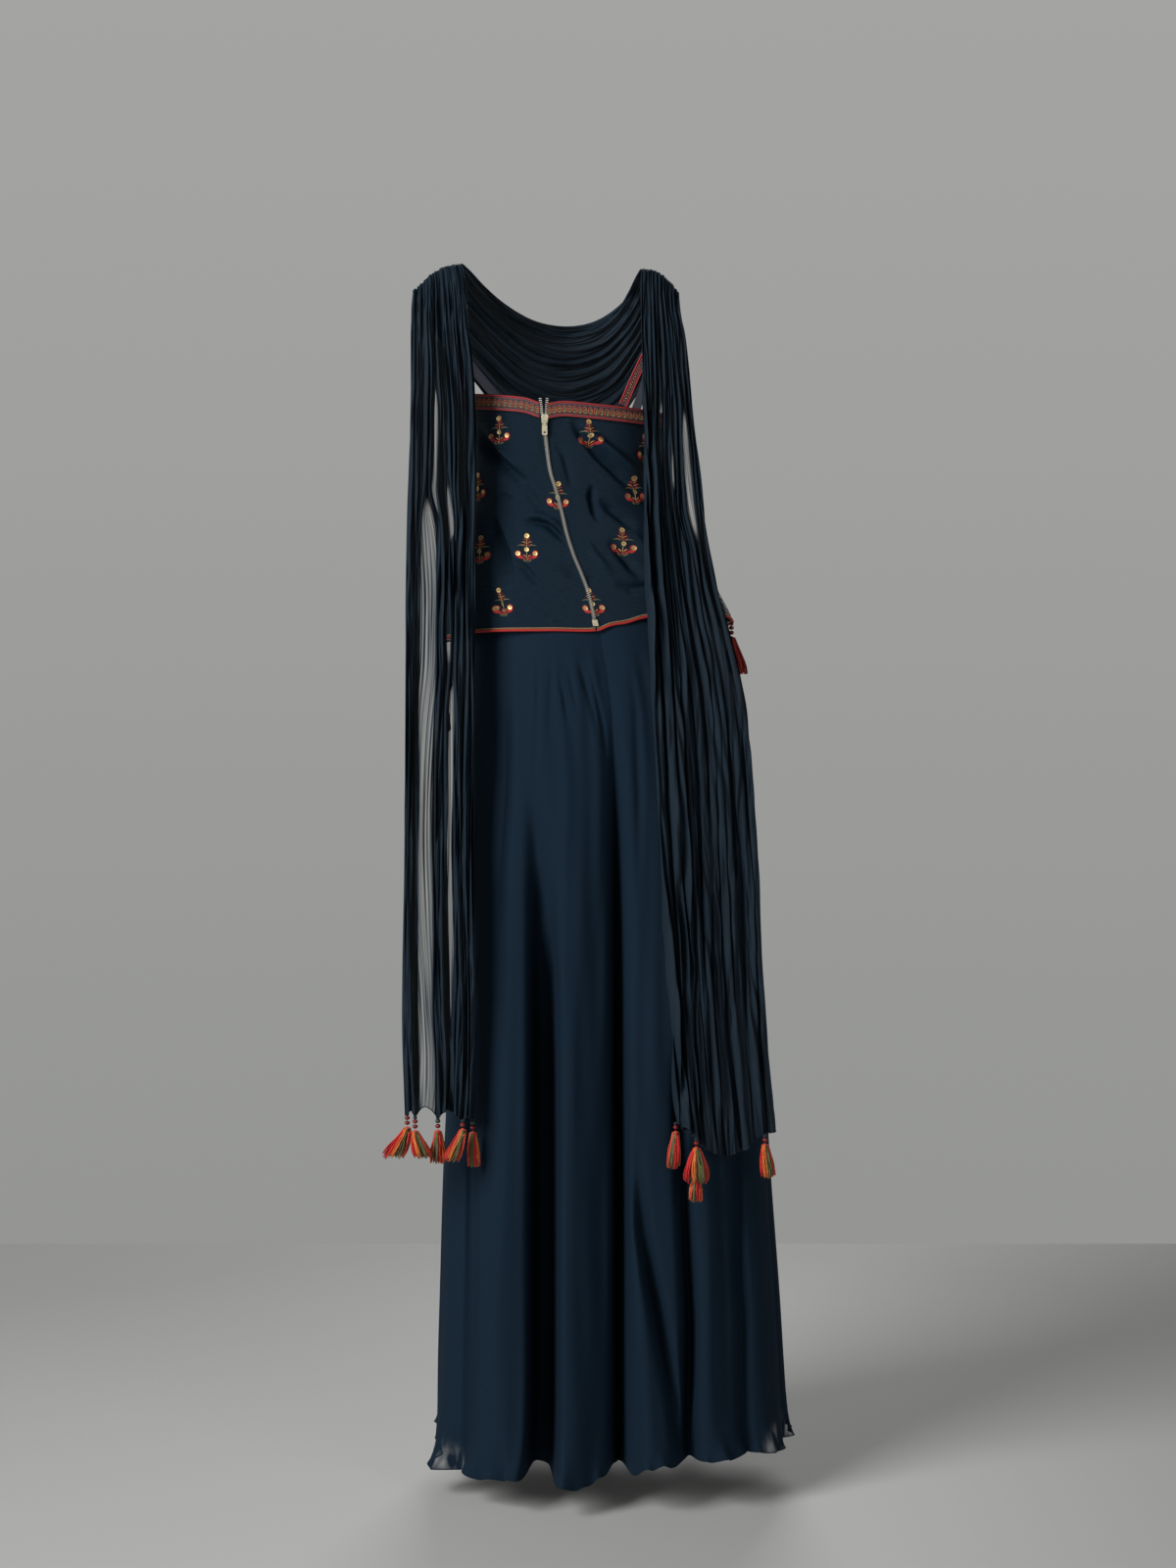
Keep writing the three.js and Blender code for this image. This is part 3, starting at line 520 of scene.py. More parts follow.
for look_name, color in TASSEL_THREADS.items():
    thread_material(look_name + "_thread", color, sheen=0.1)
# A colour, then its roughness, sheen, share of metal, spread of colour and grain
thread_material("gold_sequin", (0.56, 0.40, 0.17), 0.45, 0.0, 0.6, 0.15)
thread_material("gold_bead", (0.72, 0.44, 0.12), 0.25, 0.0, 0.85, 0.15)
thread_material("red_bead", (0.17, 0.012, 0.012), 0.3, 0.0, 0.0, 0.3)
thread_material("green_bead", (0.030, 0.050, 0.028), 0.18, 0.0, 0.0, 0.3)
thread_material("zip_metal", (0.80, 0.77, 0.68), 0.30, 0.0, 0.55, 0.10, 500)
thread_material("brass_metal", (0.80, 0.72, 0.50), 0.30, 0.0, 0.6, 0.12, 400)
thread_material("woven_base", (0.020, 0.022, 0.034), spread=0.4, grain=1400)


# Rounded oblong sections
def reach(sections, angle, z):
    """The radius of a section at an angle, which is 0 straight behind and grows toward +X."""
    width = look(sections, "halfWidth", z)
    depth = np.where(np.cos(angle) > 0, look(sections, "back", z), look(sections, "front", z))
    x = np.abs(np.sin(angle) / width) ** SECTION_POWER
    y = np.abs(np.cos(angle) / depth) ** SECTION_POWER
    return (x + y) ** (-1 / SECTION_POWER)


def ring_point(sections, angle, z, out=0.0):
    radius = reach(sections, angle, z) + out
    return vec(look(sections, "centre", z) + radius * np.sin(angle), -radius * np.cos(angle), z)


def crease_depth(creases, x, z):
    """How far in a surface lies at x and z. A crease is a width and points of x, z and depth.

    A deep one has a flat bottom and steep sides.
    """
    total = np.zeros(np.broadcast(x, z).shape)
    for width, *points in creases:
        best = np.full(total.shape, np.inf)
        depth = np.zeros(total.shape)
        for (x0, z0, d0), (x1, z1, d1) in zip(points, points[1:]):
            dx, dz = x1 - x0, z1 - z0
            t = np.clip(((x - x0) * dx + (z - z0) * dz) / (dx * dx + dz * dz), 0, 1)
            away = (x - x0 - t * dx) ** 2 + (z - z0 - t * dz) ** 2
            depth = np.where(away < best, lerp(d0, d1, t), depth)
            best = np.minimum(best, away)
        shape = best / (width * width)
        steep = max(point[2] for point in points) > STEEP_FROM
        total += depth * np.exp(-(shape * shape if steep else shape))
    return total


# The top
DIP_LEVEL = 210
DIP_DEPTH = 5.5
DIP_WIDTH = 15
FRONT_NARROWING = 50


def band_dip(angle, z=EDGE_LEVEL):
    """How far the upper edge dips beside the zip."""
    x = ring_point(TOP, angle, z)[..., 0]
    away = np.abs(x - look(ZIP, "x", DIP_LEVEL)) * np.where(np.cos(angle) > 0, 1, FRONT_NARROWING)
    return DIP_DEPTH * np.exp(-((away / DIP_WIDTH) ** 2))


def edge_height(angle):
    """The top's upper edge, lower toward the wearer's right."""
    side = reach(TOP, angle, EDGE_LEVEL) * np.sin(angle) / look(TOP, "halfWidth", EDGE_LEVEL)
    return EDGE_MIDDLE - EDGE_SLOPE * side


def hem_height(angle):
    return look(TOP_HEM, "z", wrap_degrees(angle))


BACK_LIMIT = 80


def back_angle(x, z):
    """The angle at which the top's back has a given x."""
    limit = math.radians(BACK_LIMIT)
    return solve(lambda angle: ring_point(TOP, angle, z)[..., 0], x, -limit, limit)


def zip_angle(side, z, away):
    return back_angle(look(ZIP, "x", z) + side * (look(ZIP, "open", z) + away), z)


# Creases of the top's back: a width, then points of x, z and depth. A negative depth is a ridge.
BACK_CREASES = [
    (6, (-138, 194, 0), (-124, 168, 3.2), (-104, 142, 3.6), (-84, 126, 2.2), (-66, 116, 0)),
    (5, (-124, 186, 0), (-104, 160, -2.0), (-84, 142, -1.6), (-66, 130, 0)),
    (3.4, (-78, 72, 0), (-66, 74, 3.0), (-50, 70, 3.6), (-36, 58, 3.0), (-20, 44, 0)),
    (3.5, (-74, 80, 0), (-56, 82, -1.8), (-38, 72, -2.0), (-24, 58, 0)),
    (7, (-98, 132, 0), (-72, 108, 1.8), (-56, 88, 1.6), (-46, 74, 0)),
    (5, (-22, 198, 0), (-8, 178, 2.8), (12, 154, 3.8), (36, 132, 3.6), (62, 108, 0)),
    (5, (-10, 196, 0), (6, 176, -2.2), (28, 158, -2.8), (52, 138, -2.0), (72, 122, 0)),
    (4, (6, 118, 0), (4, 104, 3.0), (8, 86, 2.6), (14, 72, 0)),
    (5, (12, 100, 0), (28, 88, 2.6), (44, 76, 2.8), (58, 66, 0)),
    (8, (-120, 86, 0), (-114, 60, 4.0), (-104, 34, 4.4), (-96, 8, 2.0), (-92, -8, 0)),
    (5, (-90, 30, 0), (-78, 18, 2.4), (-66, 6, 2.0), (-56, -6, 0)),
    (6, (24, 52, 0), (38, 38, 2.6), (52, 22, 3.0), (68, 4, 0)),
    (7, (48, 66, 0), (64, 44, -2.0), (82, 24, -1.8), (92, 8, 0)),
    (4, (-58, 196, 0), (-54, 168, 1.2), (-50, 140, 0.8), (-46, 120, 0)),
    (9, (64, 166, 0), (76, 136, 3.0), (88, 96, 3.6), (96, 50, 2.0), (102, 20, 0)),
    (5, (-36, 24, 0), (-20, 12, 1.6), (0, 4, 1.4), (12, 2, 0)),
    (5, (32, 2, 0), (52, -6, 1.8), (74, -4, 1.6), (92, 6, 0)),
    (7, (-124, 0, 0), (-112, -22, 2.4), (-102, -44, 2.4), (-98, -60, 1.6)),
    (4, (-40, 170, 0), (-28, 150, 1.4), (-22, 128, 1.2), (-18, 110, 0)),
    (5, (-8, 60, 0), (4, 40, -1.2), (18, 22, -1.2), (30, 8, 0)),
    (4, (-86, 96, 0), (-100, 104, 1.6), (-116, 108, 0)),
]
# Like ones across the front
FRONT_CREASES = [
    (6, (-104, 184, 0), (-80, 156, 2.6), (-60, 140, 2.4), (-44, 132, 0)),
    (6, (62, 188, 0), (42, 162, 2.8), (22, 148, 2.6), (4, 138, 0)),
    (5, (-88, 92, 0), (-60, 82, 2.4), (-36, 76, 2.2), (-14, 78, 0)),
    (5, (88, 102, 0), (62, 88, 2.6), (40, 80, 2.4), (20, 80, 0)),
    (8, (-112, 64, 0), (-98, 22, 3.0), (-88, -24, 2.4)),
    (8, (86, 54, 0), (96, 12, 3.0), (104, -34, 2.4)),
    (7, (-44, 42, 0), (-10, 30, 1.6), (28, 38, 0)),
    (8, (-72, 4, 0), (-56, -26, 2.2), (-50, -50, 2.0)),
    (8, (30, 8, 0), (40, -20, 2.2), (44, -46, 2.0)),
]
SILK_FACE = 0.3
CREASE_GAIN = 3.1
SWELL = 0.35
SWELL_LENGTH = 300
FLAT_BY_ZIP = 6
FLAT_BY_EDGE = 0.85
silk_swell = waves(11, 9, 3.2, 2.4)


def silk_in(angle, z):
    """How far the silk lies in from the solid's outer face, by its creases and slight swells."""
    x = ring_point(TOP, angle, z)[..., 0]
    behind = np.cos(angle) > 0
    depth = np.where(behind, crease_depth(BACK_CREASES, x, z), crease_depth(FRONT_CREASES, x, z))
    swell = SWELL * silk_swell(angle / FULL, z / SWELL_LENGTH)
    near_zip = np.exp(-(((x - look(ZIP, "x", z)) / FLAT_BY_ZIP) ** 2)) * behind
    near_edge = smooth(z, 190, 204) + smooth(-z, 26, 40)
    return (CREASE_GAIN * depth + swell) * (1 - near_zip) * (1 - np.clip(near_edge, 0, 1) * FLAT_BY_EDGE)


def silk_point(angle, z, out=0.0):
    return ring_point(TOP, angle, z, SILK_FACE - silk_in(angle, z) + out)


SILK_SPREAD = 130
SILK_ROWS = np.linspace(0, 1, 110)[:, None]
SILK_LEVELS = lerp(-54, 221, SILK_ROWS)


def top_panel(name, start, end, columns, node):
    angle = lerp(start, end, np.linspace(0, 1, columns)[None, :])
    top = edge_height(angle) - band_dip(angle) - 0.4
    z = lerp(hem_height(angle) - 0.5, top, SILK_ROWS)
    mesh = Mesh(name)
    mesh.grid(silk_point(angle, z), uv=pair(angle * SILK_SPREAD, z) * MM)
    piece = mesh.make(["silk"], node)


top_panel("silk_back_left", -QUARTER, zip_angle(-1, SILK_LEVELS, 0.1), 110, "top_back_left")
top_panel("silk_back_right", zip_angle(1, SILK_LEVELS, 0.1), QUARTER, 140, "top_back_right")
top_panel("silk_front", QUARTER, 3 * QUARTER, 150, "top_front")


# The border band: two red edges, a dark line and a row of arches
BAND_START = zip_angle(1, EDGE_LEVEL, BAND_CLEAR)
BAND_END = zip_angle(-1, EDGE_LEVEL, BAND_CLEAR) + FULL
BAND_LENGTH = 655
BAND_STEPS = 420
BAND_FACE = 0.5
CURL = 1.2
CURL_LENGTH = 9 / 640
ARCH_PITCH = 6.8
ARCH_FACE = 0.75


def band_point(share, up, lift):
    """A point of the band at a share of its round, a height over its lower edge and a lift off its face."""
    angle = lerp(BAND_START, BAND_END, share)
    z = edge_height(angle) - band_dip(angle) - BAND_HEIGHT + up
    curl = CURL * np.exp(-((np.minimum(share, 1 - share) / CURL_LENGTH) ** 2))
    return ring_point(TOP, angle, z, BAND_OUT + 0.6 * (1 - up / BAND_HEIGHT) + lift + curl)


def border_band():
    base = Mesh("border_band")
    share = np.linspace(0, 1, BAND_STEPS)[None, :]
    ups = np.array([0, 0, 1.4, BAND_HEIGHT - 1.4, BAND_HEIGHT, BAND_HEIGHT])
    lifts = [-0.5, 0.35, BAND_FACE, BAND_FACE, 0.35, -0.5]
    points = np.stack([band_point(share, up, lift)[0] for up, lift in zip(ups, lifts)])
    base.grid(points, uv=pair(share * BAND_LENGTH, ups[:, None]) * MM)
    base.make(["woven_base"], "top_border_band")

    lines = Mesh("border_band_lines")
    share = np.linspace(0.0005, 0.9995, BAND_STEPS)
    for up, radius, mark in [(1.3, 0.95, 0), (3.4, 0.55, 2), (4.6, 0.5, 1), (15.8, 0.5, 2), (17.8, 1.15, 0)]:
        lines.tube(band_point(share, up, 0.55), radius, 6, mark, flat=0.7)
    lines.make(["red_thread", "navy_thread", "pink_thread"])

    arches = Mesh("border_band_arches")
    count = int(BAND_LENGTH / ARCH_PITCH)
    half = 0.36 * ARCH_PITCH / BAND_LENGTH
    for i in range(count):
        middle = (i + 0.5) / count
        turn = np.linspace(0, math.pi, 9)
        arc = band_point(middle + half * np.cos(turn), 9.6 + 3.6 * np.sin(turn), ARCH_FACE)
        rise = np.array([5.4, 7.2, 9.2])
        legs = [band_point(np.full(3, middle + side * half), rise, ARCH_FACE) for side in (1, -1)]
        path = np.concatenate([legs[0], arc, legs[1][::-1]])
        arches.tube(path, 0.62, 4)
        inner = np.linspace(0, math.pi, 7)
        path = band_point(middle + 0.45 * half * np.cos(inner), 8.4 + 2.3 * np.sin(inner), 0.7)
        arches.tube(path, 0.42, 4, 1)
        for x, up, mark in [(0.0, 6.6, 2), (-0.45, 5.7, 3), (0.45, 5.7, 3)]:
            spot = band_point(np.array(middle + x * half), up, 0.7)
            arches.ball(spot, (0.75, 0.75, 1.15), mark, 6, 5)
    arches.make(["rust_thread", "tan_thread", "cream_thread", "green_thread"])


border_band()


# The hem's piping: a red twisted cord with a tan cord over it
HEM_LEVEL = -55
RED_TWIST = 5.5
TAN_TWIST = 3.2


def piping():
    cords = Mesh("hem_piping")
    start = zip_angle(1, HEM_LEVEL, 1.0)
    end = zip_angle(-1, HEM_LEVEL, 1.0) + FULL
    angle = np.linspace(start, end, 900)
    middle = hem_height(angle) - PIPING_GAP - PIPING_HEIGHT / 2
    length = angle * 150
    for strand in range(2):
        turn = FULL * length / RED_TWIST + strand * math.pi
        z = middle - 0.6 + 0.75 * np.sin(turn)
        out = 0.2 + 0.75 * np.cos(turn)
        cords.tube(ring_point(TOP, angle, z, out), 1.0, 5)
    turn = FULL * length / TAN_TWIST
    over = ring_point(TOP, angle, middle + 1.9 + 0.2 * np.sin(turn), 0.6 + 0.2 * np.cos(turn))
    cords.tube(over, 0.62, 4, 1)
    cords.make(["red_thread", "tan_thread"], "top_hem_piping")


piping()


# Straps: woven tape with two red edges, a navy middle and small beads
def strap_point(line, across, step, lift):
    """A point of a strap across its width, at a step along it and a lift off its middle."""
    place = read(line, "xyz", step)
    along = unit(read(line, "xyz", step + 0.01) - read(line, "xyz", step - 0.01))
    out = unit(read(line, ("outX", "outY", "outZ"), step))
    side = unit(np.cross(out, along))
    over = np.cross(along, side)
    point = place + side * np.asarray(across)[..., None] + over * np.asarray(lift, float)[..., None]
    angle = np.arctan2(point[..., 0] - look(TOP, "centre", EDGE_LEVEL), -point[..., 1])
    point[..., 2] = np.maximum(point[..., 2], edge_height(angle) - 1.0)
    return point


STRAP_END = 8
BEAD_STEP = 0.085


def strap(name, line, node, seed):
    rng = np.random.default_rng(seed)
    mesh = Mesh(name)
    step = np.linspace(0, STRAP_END, 160)
    level = np.ones(160)
    half = STRAP_WIDTH / 2
    profile = [(-half, -0.6), (-half, 0.3), (-half + 1, 0.6), (half - 1, 0.6), (half, 0.3), (half, -0.6)]
    rows = [strap_point(line, across * level, step, lift * level) for across, lift in profile + profile[:1]]
    mesh.grid(np.stack(rows))
    for inset, radius, mark in [(1.2, 1.1, 1), (3.4, 0.45, 2)]:
        for side in (-1, 1):
            edge = strap_point(line, side * (half - inset) * level, step, 0.7 * level)
            mesh.tube(edge, radius, 6, mark, flat=0.7)
    for at in np.arange(0.15, STRAP_END - 0.1, BEAD_STEP):
        across = rng.choice([-0.9, 0.9]) * (half - 5.2) + rng.uniform(-0.4, 0.4)
        centre = strap_point(line, np.array(across), np.array(at), np.array(1.1))
        mesh.ball(centre, (0.75, 0.75, 0.75), int(rng.choice([3, 3, 4])), 6, 5)
    looks = ["woven_base", "red_thread", "pink_thread", "gold_bead", "orange_thread"]
    mesh.make(looks, node)


strap("strap_tape_right", RIGHT_STRAP, "strap_right", 5)
strap("strap_tape_left", LEFT_STRAP, "strap_left", 6)


# The zip: interlocked teeth, two open rows and the stop
def zip_place(across, z, lift):
    """A point at a distance across the zip's line, at a height, lifted off the silk."""
    angle = back_angle(look(ZIP, "x", z) + across, z)
    return ring_point(TOP, angle, z, CHAIN_OUT + lift)


def tooth(mesh, low, high, z, height):
    """A rounded block across the zip at a height."""
    lift = np.array([-1.0, 0.45, 0.95])[:, None]
    inset = np.array([0.0, 0.0, 0.35])[:, None]
    across = (low + high) / 2 + ((high - low) / 2 - inset) * np.array([-1, 1, 1, -1])
    level = z + (height - inset) / 2 * np.array([-1, -1, 1, 1])
    mesh.cap(8, 4, 0)
    mesh.grid(zip_place(across, level, lift), wraps=True)


TOOTH_PITCH = 2.3
TOOTH_HEIGHT = 0.8
OPEN_TOOTH_HEIGHT = 1.15
OPEN_TOOTH_HALF = 1.6


def zip_pieces():
    """The chain of teeth with its tape below the slider, and the two open rows above it."""
    chain = Mesh("zip_teeth")
    top = SLIDER_Z - SLIDER_HEIGHT / 2 - 0.5
    count = int((top - STOP_TOP) / TOOTH_PITCH)
    for i in range(count):
        z = STOP_TOP + 0.8 + TOOTH_PITCH * (i + 0.5)
        tooth(chain, -2.2, 0.5, z - TOOTH_PITCH / 4, TOOTH_HEIGHT)
        tooth(chain, -0.5, 2.2, z + TOOTH_PITCH / 4, TOOTH_HEIGHT)
    z = np.linspace(STOP_TOP, top, 60)
    tape = np.stack([zip_place(np.full(60, across), z, -1.05) for across in (-2.6, -0.9, 0.9, 2.6)])
    chain.grid(tape, mark=1)
    chain.make(["zip_metal", "navy_thread"], "zip_chain", flat_faces=True)

    for name, side in (("left", -1), ("right", 1)):
        row = Mesh("zip_open_teeth_" + name)
        for z in np.arange(SLIDER_Z + SLIDER_HEIGHT / 2 + 0.9, EDGE_MIDDLE + 2.5, TOOTH_PITCH):
            middle = side * (float(look(ZIP, "open", z)) + 1.7)
            tooth(row, middle - OPEN_TOOTH_HALF, middle + OPEN_TOOTH_HALF, z, OPEN_TOOTH_HEIGHT)
        row.make(["zip_metal"], "zip_open_row_" + name, flat_faces=True)


zip_pieces()


# The zip's solid metal pieces, with their own finish and softened edges
SOFT_EDGE = 0.25
for node_name in ("zip_bottom_stop", "zip_slider", "zip_pull_tab"):
    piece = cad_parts[node_name]
    piece.data.materials.clear()
    piece.data.materials.append(LOOKS["brass_metal"])
    soften = piece.modifiers.new("soften", "BEVEL")
    soften.width = SOFT_EDGE * MM
    soften.segments = 2
    soften.limit_method = "ANGLE"
    soften.angle_limit = math.radians(40)


# Embroidered sprigs on the top
def sprig_map(angle, z, tilt):
    """Turns a sprig's own x, y and lift into places on the silk."""
    radius = float(reach(TOP, np.array(angle), np.array(z)))

    def place(x, y, lift):
        x, y = np.asarray(x, float), np.asarray(y, float)
        across = x * math.cos(tilt) - y * math.sin(tilt)
        up = x * math.sin(tilt) + y * math.cos(tilt)
        return silk_point(angle + across / radius, z + up, 0.1 + np.asarray(lift, float))

    return place


def leaf(mesh, place, start, end, width, mark, bend=0.0):
    """A raised satin-stitch leaf between two points, pointed at both ends."""
    (x0, y0), (x1, y1) = start, end
    t = np.linspace(0, 1, 8)[:, None]
    s = np.linspace(-1, 1, 5)[None, :]
    length = math.hypot(x1 - x0, y1 - y0)
    nx, ny = -(y1 - y0) / length, (x1 - x0) / length
    broad = width / 2 * np.sin(math.pi * np.clip(t, 0.02, 0.98)) ** 0.8
    side = s * broad + bend * 4 * t * (1 - t)
    x = x0 + (x1 - x0) * t + nx * side
    y = y0 + (y1 - y0) * t + ny * side
    mesh.grid(place(x, y, 0.05 + 0.75 * (1 - s * s) * np.sin(math.pi * t) ** 0.5), mark=mark)


def ring_stitch(mesh, place, centre, radius, mark, thickness):
    mesh.tube(place(*around(centre, radius, circle(14)), 0.4), thickness, 5, mark, True)


def sequin(mesh, place, centre, radius, mark):
    """A cupped disc with a hole."""
    ring = np.array([0.24, 0.5, 0.8, 1.0])[:, None]
    mesh.grid(place(*around(centre, radius * ring, circle(16)[None, :]), 0.75 + 0.35 * ring**2), True, mark)


def stem(mesh, place, points, radius, mark):
    """A stitched line through points."""
    path = np.array(points, float)
    mesh.tube(place(path[:, 0], path[:, 1], 0.35), radius, 5, mark)


RED, ORANGE, GREEN, TAN, SEQUIN = range(5)
# Leaves of a sprig's right half: both ends, width, colour and bend
LEAVES = [
    ((0.4, 8.4), (4.6, 11.2), 1.1, RED, 0.8), ((0.4, 5.2), (6.2, 7.6), 1.2, ORANGE, 1.0),
    ((0.6, 2.4), (6.4, 4.6), 1.0, RED, 0.9), ((1.2, 1.2), (11.6, 2.6), 1.5, GREEN, 1.9),
    ((0.6, -16.2), (5.2, -12.6), 1.7, GREEN, -0.5), ((0.9, -11.0), (4.4, -7.6), 1.5, ORANGE, 0.3),
    ((4.4, -11.8), (10.4, -2.2), 3.0, RED, -2.6), ((5.6, -12.4), (13.2, -5.0), 2.4, RED, -1.5),
]


def sprig(mesh, place):
    stem(mesh, place, [(0.3, -15.5), (-0.2, -9), (0.2, -3), (0, 4), (0, 11)], 0.5, TAN)
    for side in (-1, 1):
        stem(mesh, place, [(0.3 * side, -14), (4.2 * side, -11.5), (7.6 * side, -8.5)], 0.75, RED)
        for (x0, y0), (x1, y1), width, mark, bend in LEAVES:
            leaf(mesh, place, (x0 * side, y0), (x1 * side, y1), width, mark, bend * side)
        ring_stitch(mesh, place, (9.8 * side, -6.2), 3.1, RED, 0.55)
        sequin(mesh, place, (9.8 * side, -6.2), 2.7, SEQUIN)
    sequin(mesh, place, (0, 14.8), 2.9, SEQUIN)
    ring_stitch(mesh, place, (0, 14.8), 3.0, ORANGE, 0.3)
    sequin(mesh, place, (0, -1.4), 2.7, SEQUIN)


# Sprigs behind, by x and z of their centres, then even rows round the sides and front
BACK_SPRIGS = [
    (-106, 183), (2, 178), (-132, 116), (-36, 104), (56, 111), (70, 162), (-73, 42), (42, 49),
    (-104, -23), (5, -23), (104, 30), (104, 120), (-130, 40), (92, -6),
]


SPRIG_ROWS = [182, 112, 42, -22]
SPRIG_STEP = 36
SPRIG_TILT = 0.08


def sprigs():
    mesh = Mesh("sprigs")
    rng = np.random.default_rng(21)
    places = [(float(back_angle(x, z)), z) for x, z in BACK_SPRIGS]
    for row, z in enumerate(SPRIG_ROWS):
        angles = [104 + SPRIG_STEP * i + SPRIG_STEP / 2 * (row % 2) for i in range(5)]
        places += [(math.radians(angle), z) for angle in angles if angle < 262]
    for angle, z in places:
        sprig(mesh, sprig_map(angle, z, rng.uniform(-SPRIG_TILT, SPRIG_TILT)))
    mesh.make(["red_thread", "orange_thread", "green_thread", "tan_thread", "gold_sequin"])


sprigs()


# The waistband: a gathered tube over elastic
GATHERS = 96
ELASTIC_ROWS = 4
WAIST_SPREAD = 115


def waistband():
    mesh = Mesh("waistband_gathers")
    angle = circle(400)[None, :]
    v = np.linspace(0, 1, 16)[:, None]
    z = lerp(WAISTBAND_BOTTOM, WAISTBAND_TOP, v)
    ripple = 0.5 * np.sin(GATHERS * angle + 1.5 * np.sin(7 * angle)) * np.sin(math.pi * v)
    rows = 0.35 * np.cos(FULL * ELASTIC_ROWS * v)
    point = ring_point(PALAZZO, angle, WAISTBAND_BOTTOM, 0.6 + ripple + rows)
    point[..., 2] = z
    mesh.grid(point, wraps=True, uv=pair(angle * WAIST_SPREAD, z) * MM)
    piece = mesh.make(["georgette"], "palazzo_waistband")


waistband()


# The palazzo's legs
def hollow_depth(angle, z):
    """How far in the hollows between the flutes lie, growing from their start to the hem."""
    total = 0
    for at, depth, width, start in HOLLOWS:
        strength = np.clip((start - z) / (start - LEG_BOTTOM), 0, 1.05) ** 1.3
        turn = np.radians(wrap_degrees(angle - math.radians(at)))
        arc = turn * reach(PALAZZO, np.array(math.radians(at)), z)
        total = total + depth * strength * np.exp(-((arc / width) ** 2))
    return total


# Folds behind, straight in: a width, then points of x, z and depth
LEG_CREASES = [
    (8, (-70, -230, 0), (-64, -300, 9), (-60, -380, 14), (-58, -460, 0)),
    (16, (-60, -260, 0), (-58, -340, 10), (-55, -415, 34), (-54, -474, 66), (-54, -593, 96),
     (-54, -1090, 108)),
    (4, (-92, -130, 0), (-93, -190, 5), (-95, -260, 8), (-102, -356, 6), (-108, -430, 0)),
    (8, (108, -560, 0), (112, -640, 20), (117, -771, 40), (123, -891, 46), (121, -1090, 52)),
    (9, (168, -560, 0), (180, -712, 22), (183, -831, 36), (187, -891, 34), (186, -1090, 30)),
    (8, (60, -640, 0), (64, -712, 8), (67, -771, 26), (76, -831, 30), (88, -891, 30), (104, -985, 28),
     (114, -1090, 26)),
    (7, (-139, -480, 0), (-140, -560, 14), (-141, -652, 24), (-141, -831, 26), (-143, -930, 24),
     (-146, -1090, 26)),
    (6, (150, -600, 0), (160, -712, 6), (166, -831, 8), (170, -1000, 4)),
    (9, (-40, -300, 0), (-36, -360, 3.5), (-34, -420, 2), (-34, -470, 0)),
    (26, (-30, -160, 0), (-26, -400, -9), (-24, -800, -15), (-26, -1090, -16)),
    (12, (54, -500, 0), (58, -700, -6), (66, -900, -10), (78, -1090, -10)),
    (20, (-100, -300, 0), (-106, -600, -12), (-110, -900, -20), (-110, -1090, -20)),
    (12, (-172, -500, 0), (-176, -800, -7), (-178, -1090, -8)),
    (10, (146, -640, -2), (146, -831, -7), (150, -1090, -6)),
    (9, (208, -600, 0), (210, -831, -5), (216, -1090, -5)),
    (3.2, (-14, -88, 0), (-4, -118, 4.0), (6, -150, 3.8), (14, -190, 0)),
    (2.8, (-24, -96, 0), (-18, -128, 3.0), (-10, -166, 0)),
    (3.4, (0, -98, 0), (10, -136, 4.4), (18, -172, 4.0), (24, -212, 0)),
    (2.8, (-36, -106, 0), (-28, -140, 2.6), (-24, -176, 0)),
    (3.4, (-62, -76, 0), (-60, -130, 2.8), (-62, -200, 2.2), (-64, -280, 0)),
    (3.4, (-44, -70, 0), (-44, -120, 2.4), (-46, -190, 0)),
    (5, (48, -80, 0), (58, -150, 4), (62, -260, 4), (62, -400, 0)),
    (7, (92, -90, 0), (104, -200, 6), (116, -360, 5), (120, -500, 0)),
    (7, (130, -110, 0), (146, -260, 6), (160, -420, 5), (168, -540, 0)),
    (7, (-122, -110, 0), (-132, -300, 8), (-140, -500, 6), (-146, -620, 0)),
]
# Like ones in front, hollows and ridges in turn
FRONT_LEG_CREASES = [
    (10, (x, -90 - 30 * (i % 3), 0), (1.1 * x, -420, (-4, 5)[i % 2]), (1.3 * x, -1090, (-6, 26)[i % 2]))
    for i, x in enumerate([-150, -122, -96, -70, -44, -20, 50, 76, 100, 124, 150])
]
CENTRE = table(["z", "x"], [(-1085, 37), (-700, 36), (-300, 33), (-150, 28), (-60, 15), (-17, 12)])
# Half the space between the legs at the centre. Above the crotch the panels lap over each other.
WALLS = table(["z", "gap"], [(-1085, 0.2), (-330, 0.2), (-260, -0.5), (-17, -0.5)])
hem_wave = waves(31, 12, 24, 0.01)
hem_curl = waves(35, 12, 60, 0.01)
hem_lift = waves(32, 10, 20, 0.01)
leg_swell = waves(33, 10, 9, 1.2)
leg_ripple = waves(34, 14, 46, 1.6)
HEM_CURL = 46
HEM_LIFT = 5
HEM_WAVE = 8
HEM_FLARE = 6.5
HEM_TURN = 5
FOLDS_START = (-110, -66)
GROOVE_START = (120, 480)
BACK_ONLY = (62, 76)
HEM_ROLL = 0.75
LEG_SWELL = 1.9
LEG_RIPPLE = 0.9
LEG_WAVE_LENGTH = 500
LEG_SPREAD = 360
LEG_ROWS = 150
FINE_STEPS = 600


def division_angle(side, back, z):
    """The angle at which a leg panel meets the centre valley."""
    target = look(CENTRE, "x", z) - look(PALAZZO, "centre", z) + side * look(WALLS, "gap", z)
    depth = look(DIVISION, "depth", z)

    def across(turn):
        away = turn if back else math.pi - turn
        return (reach(PALAZZO, away, z) - depth) * np.sin(turn)

    turn = solve(across, target, -0.45, 0.45)
    if back:
        return turn
    return math.pi - turn if side > 0 else -math.pi - turn


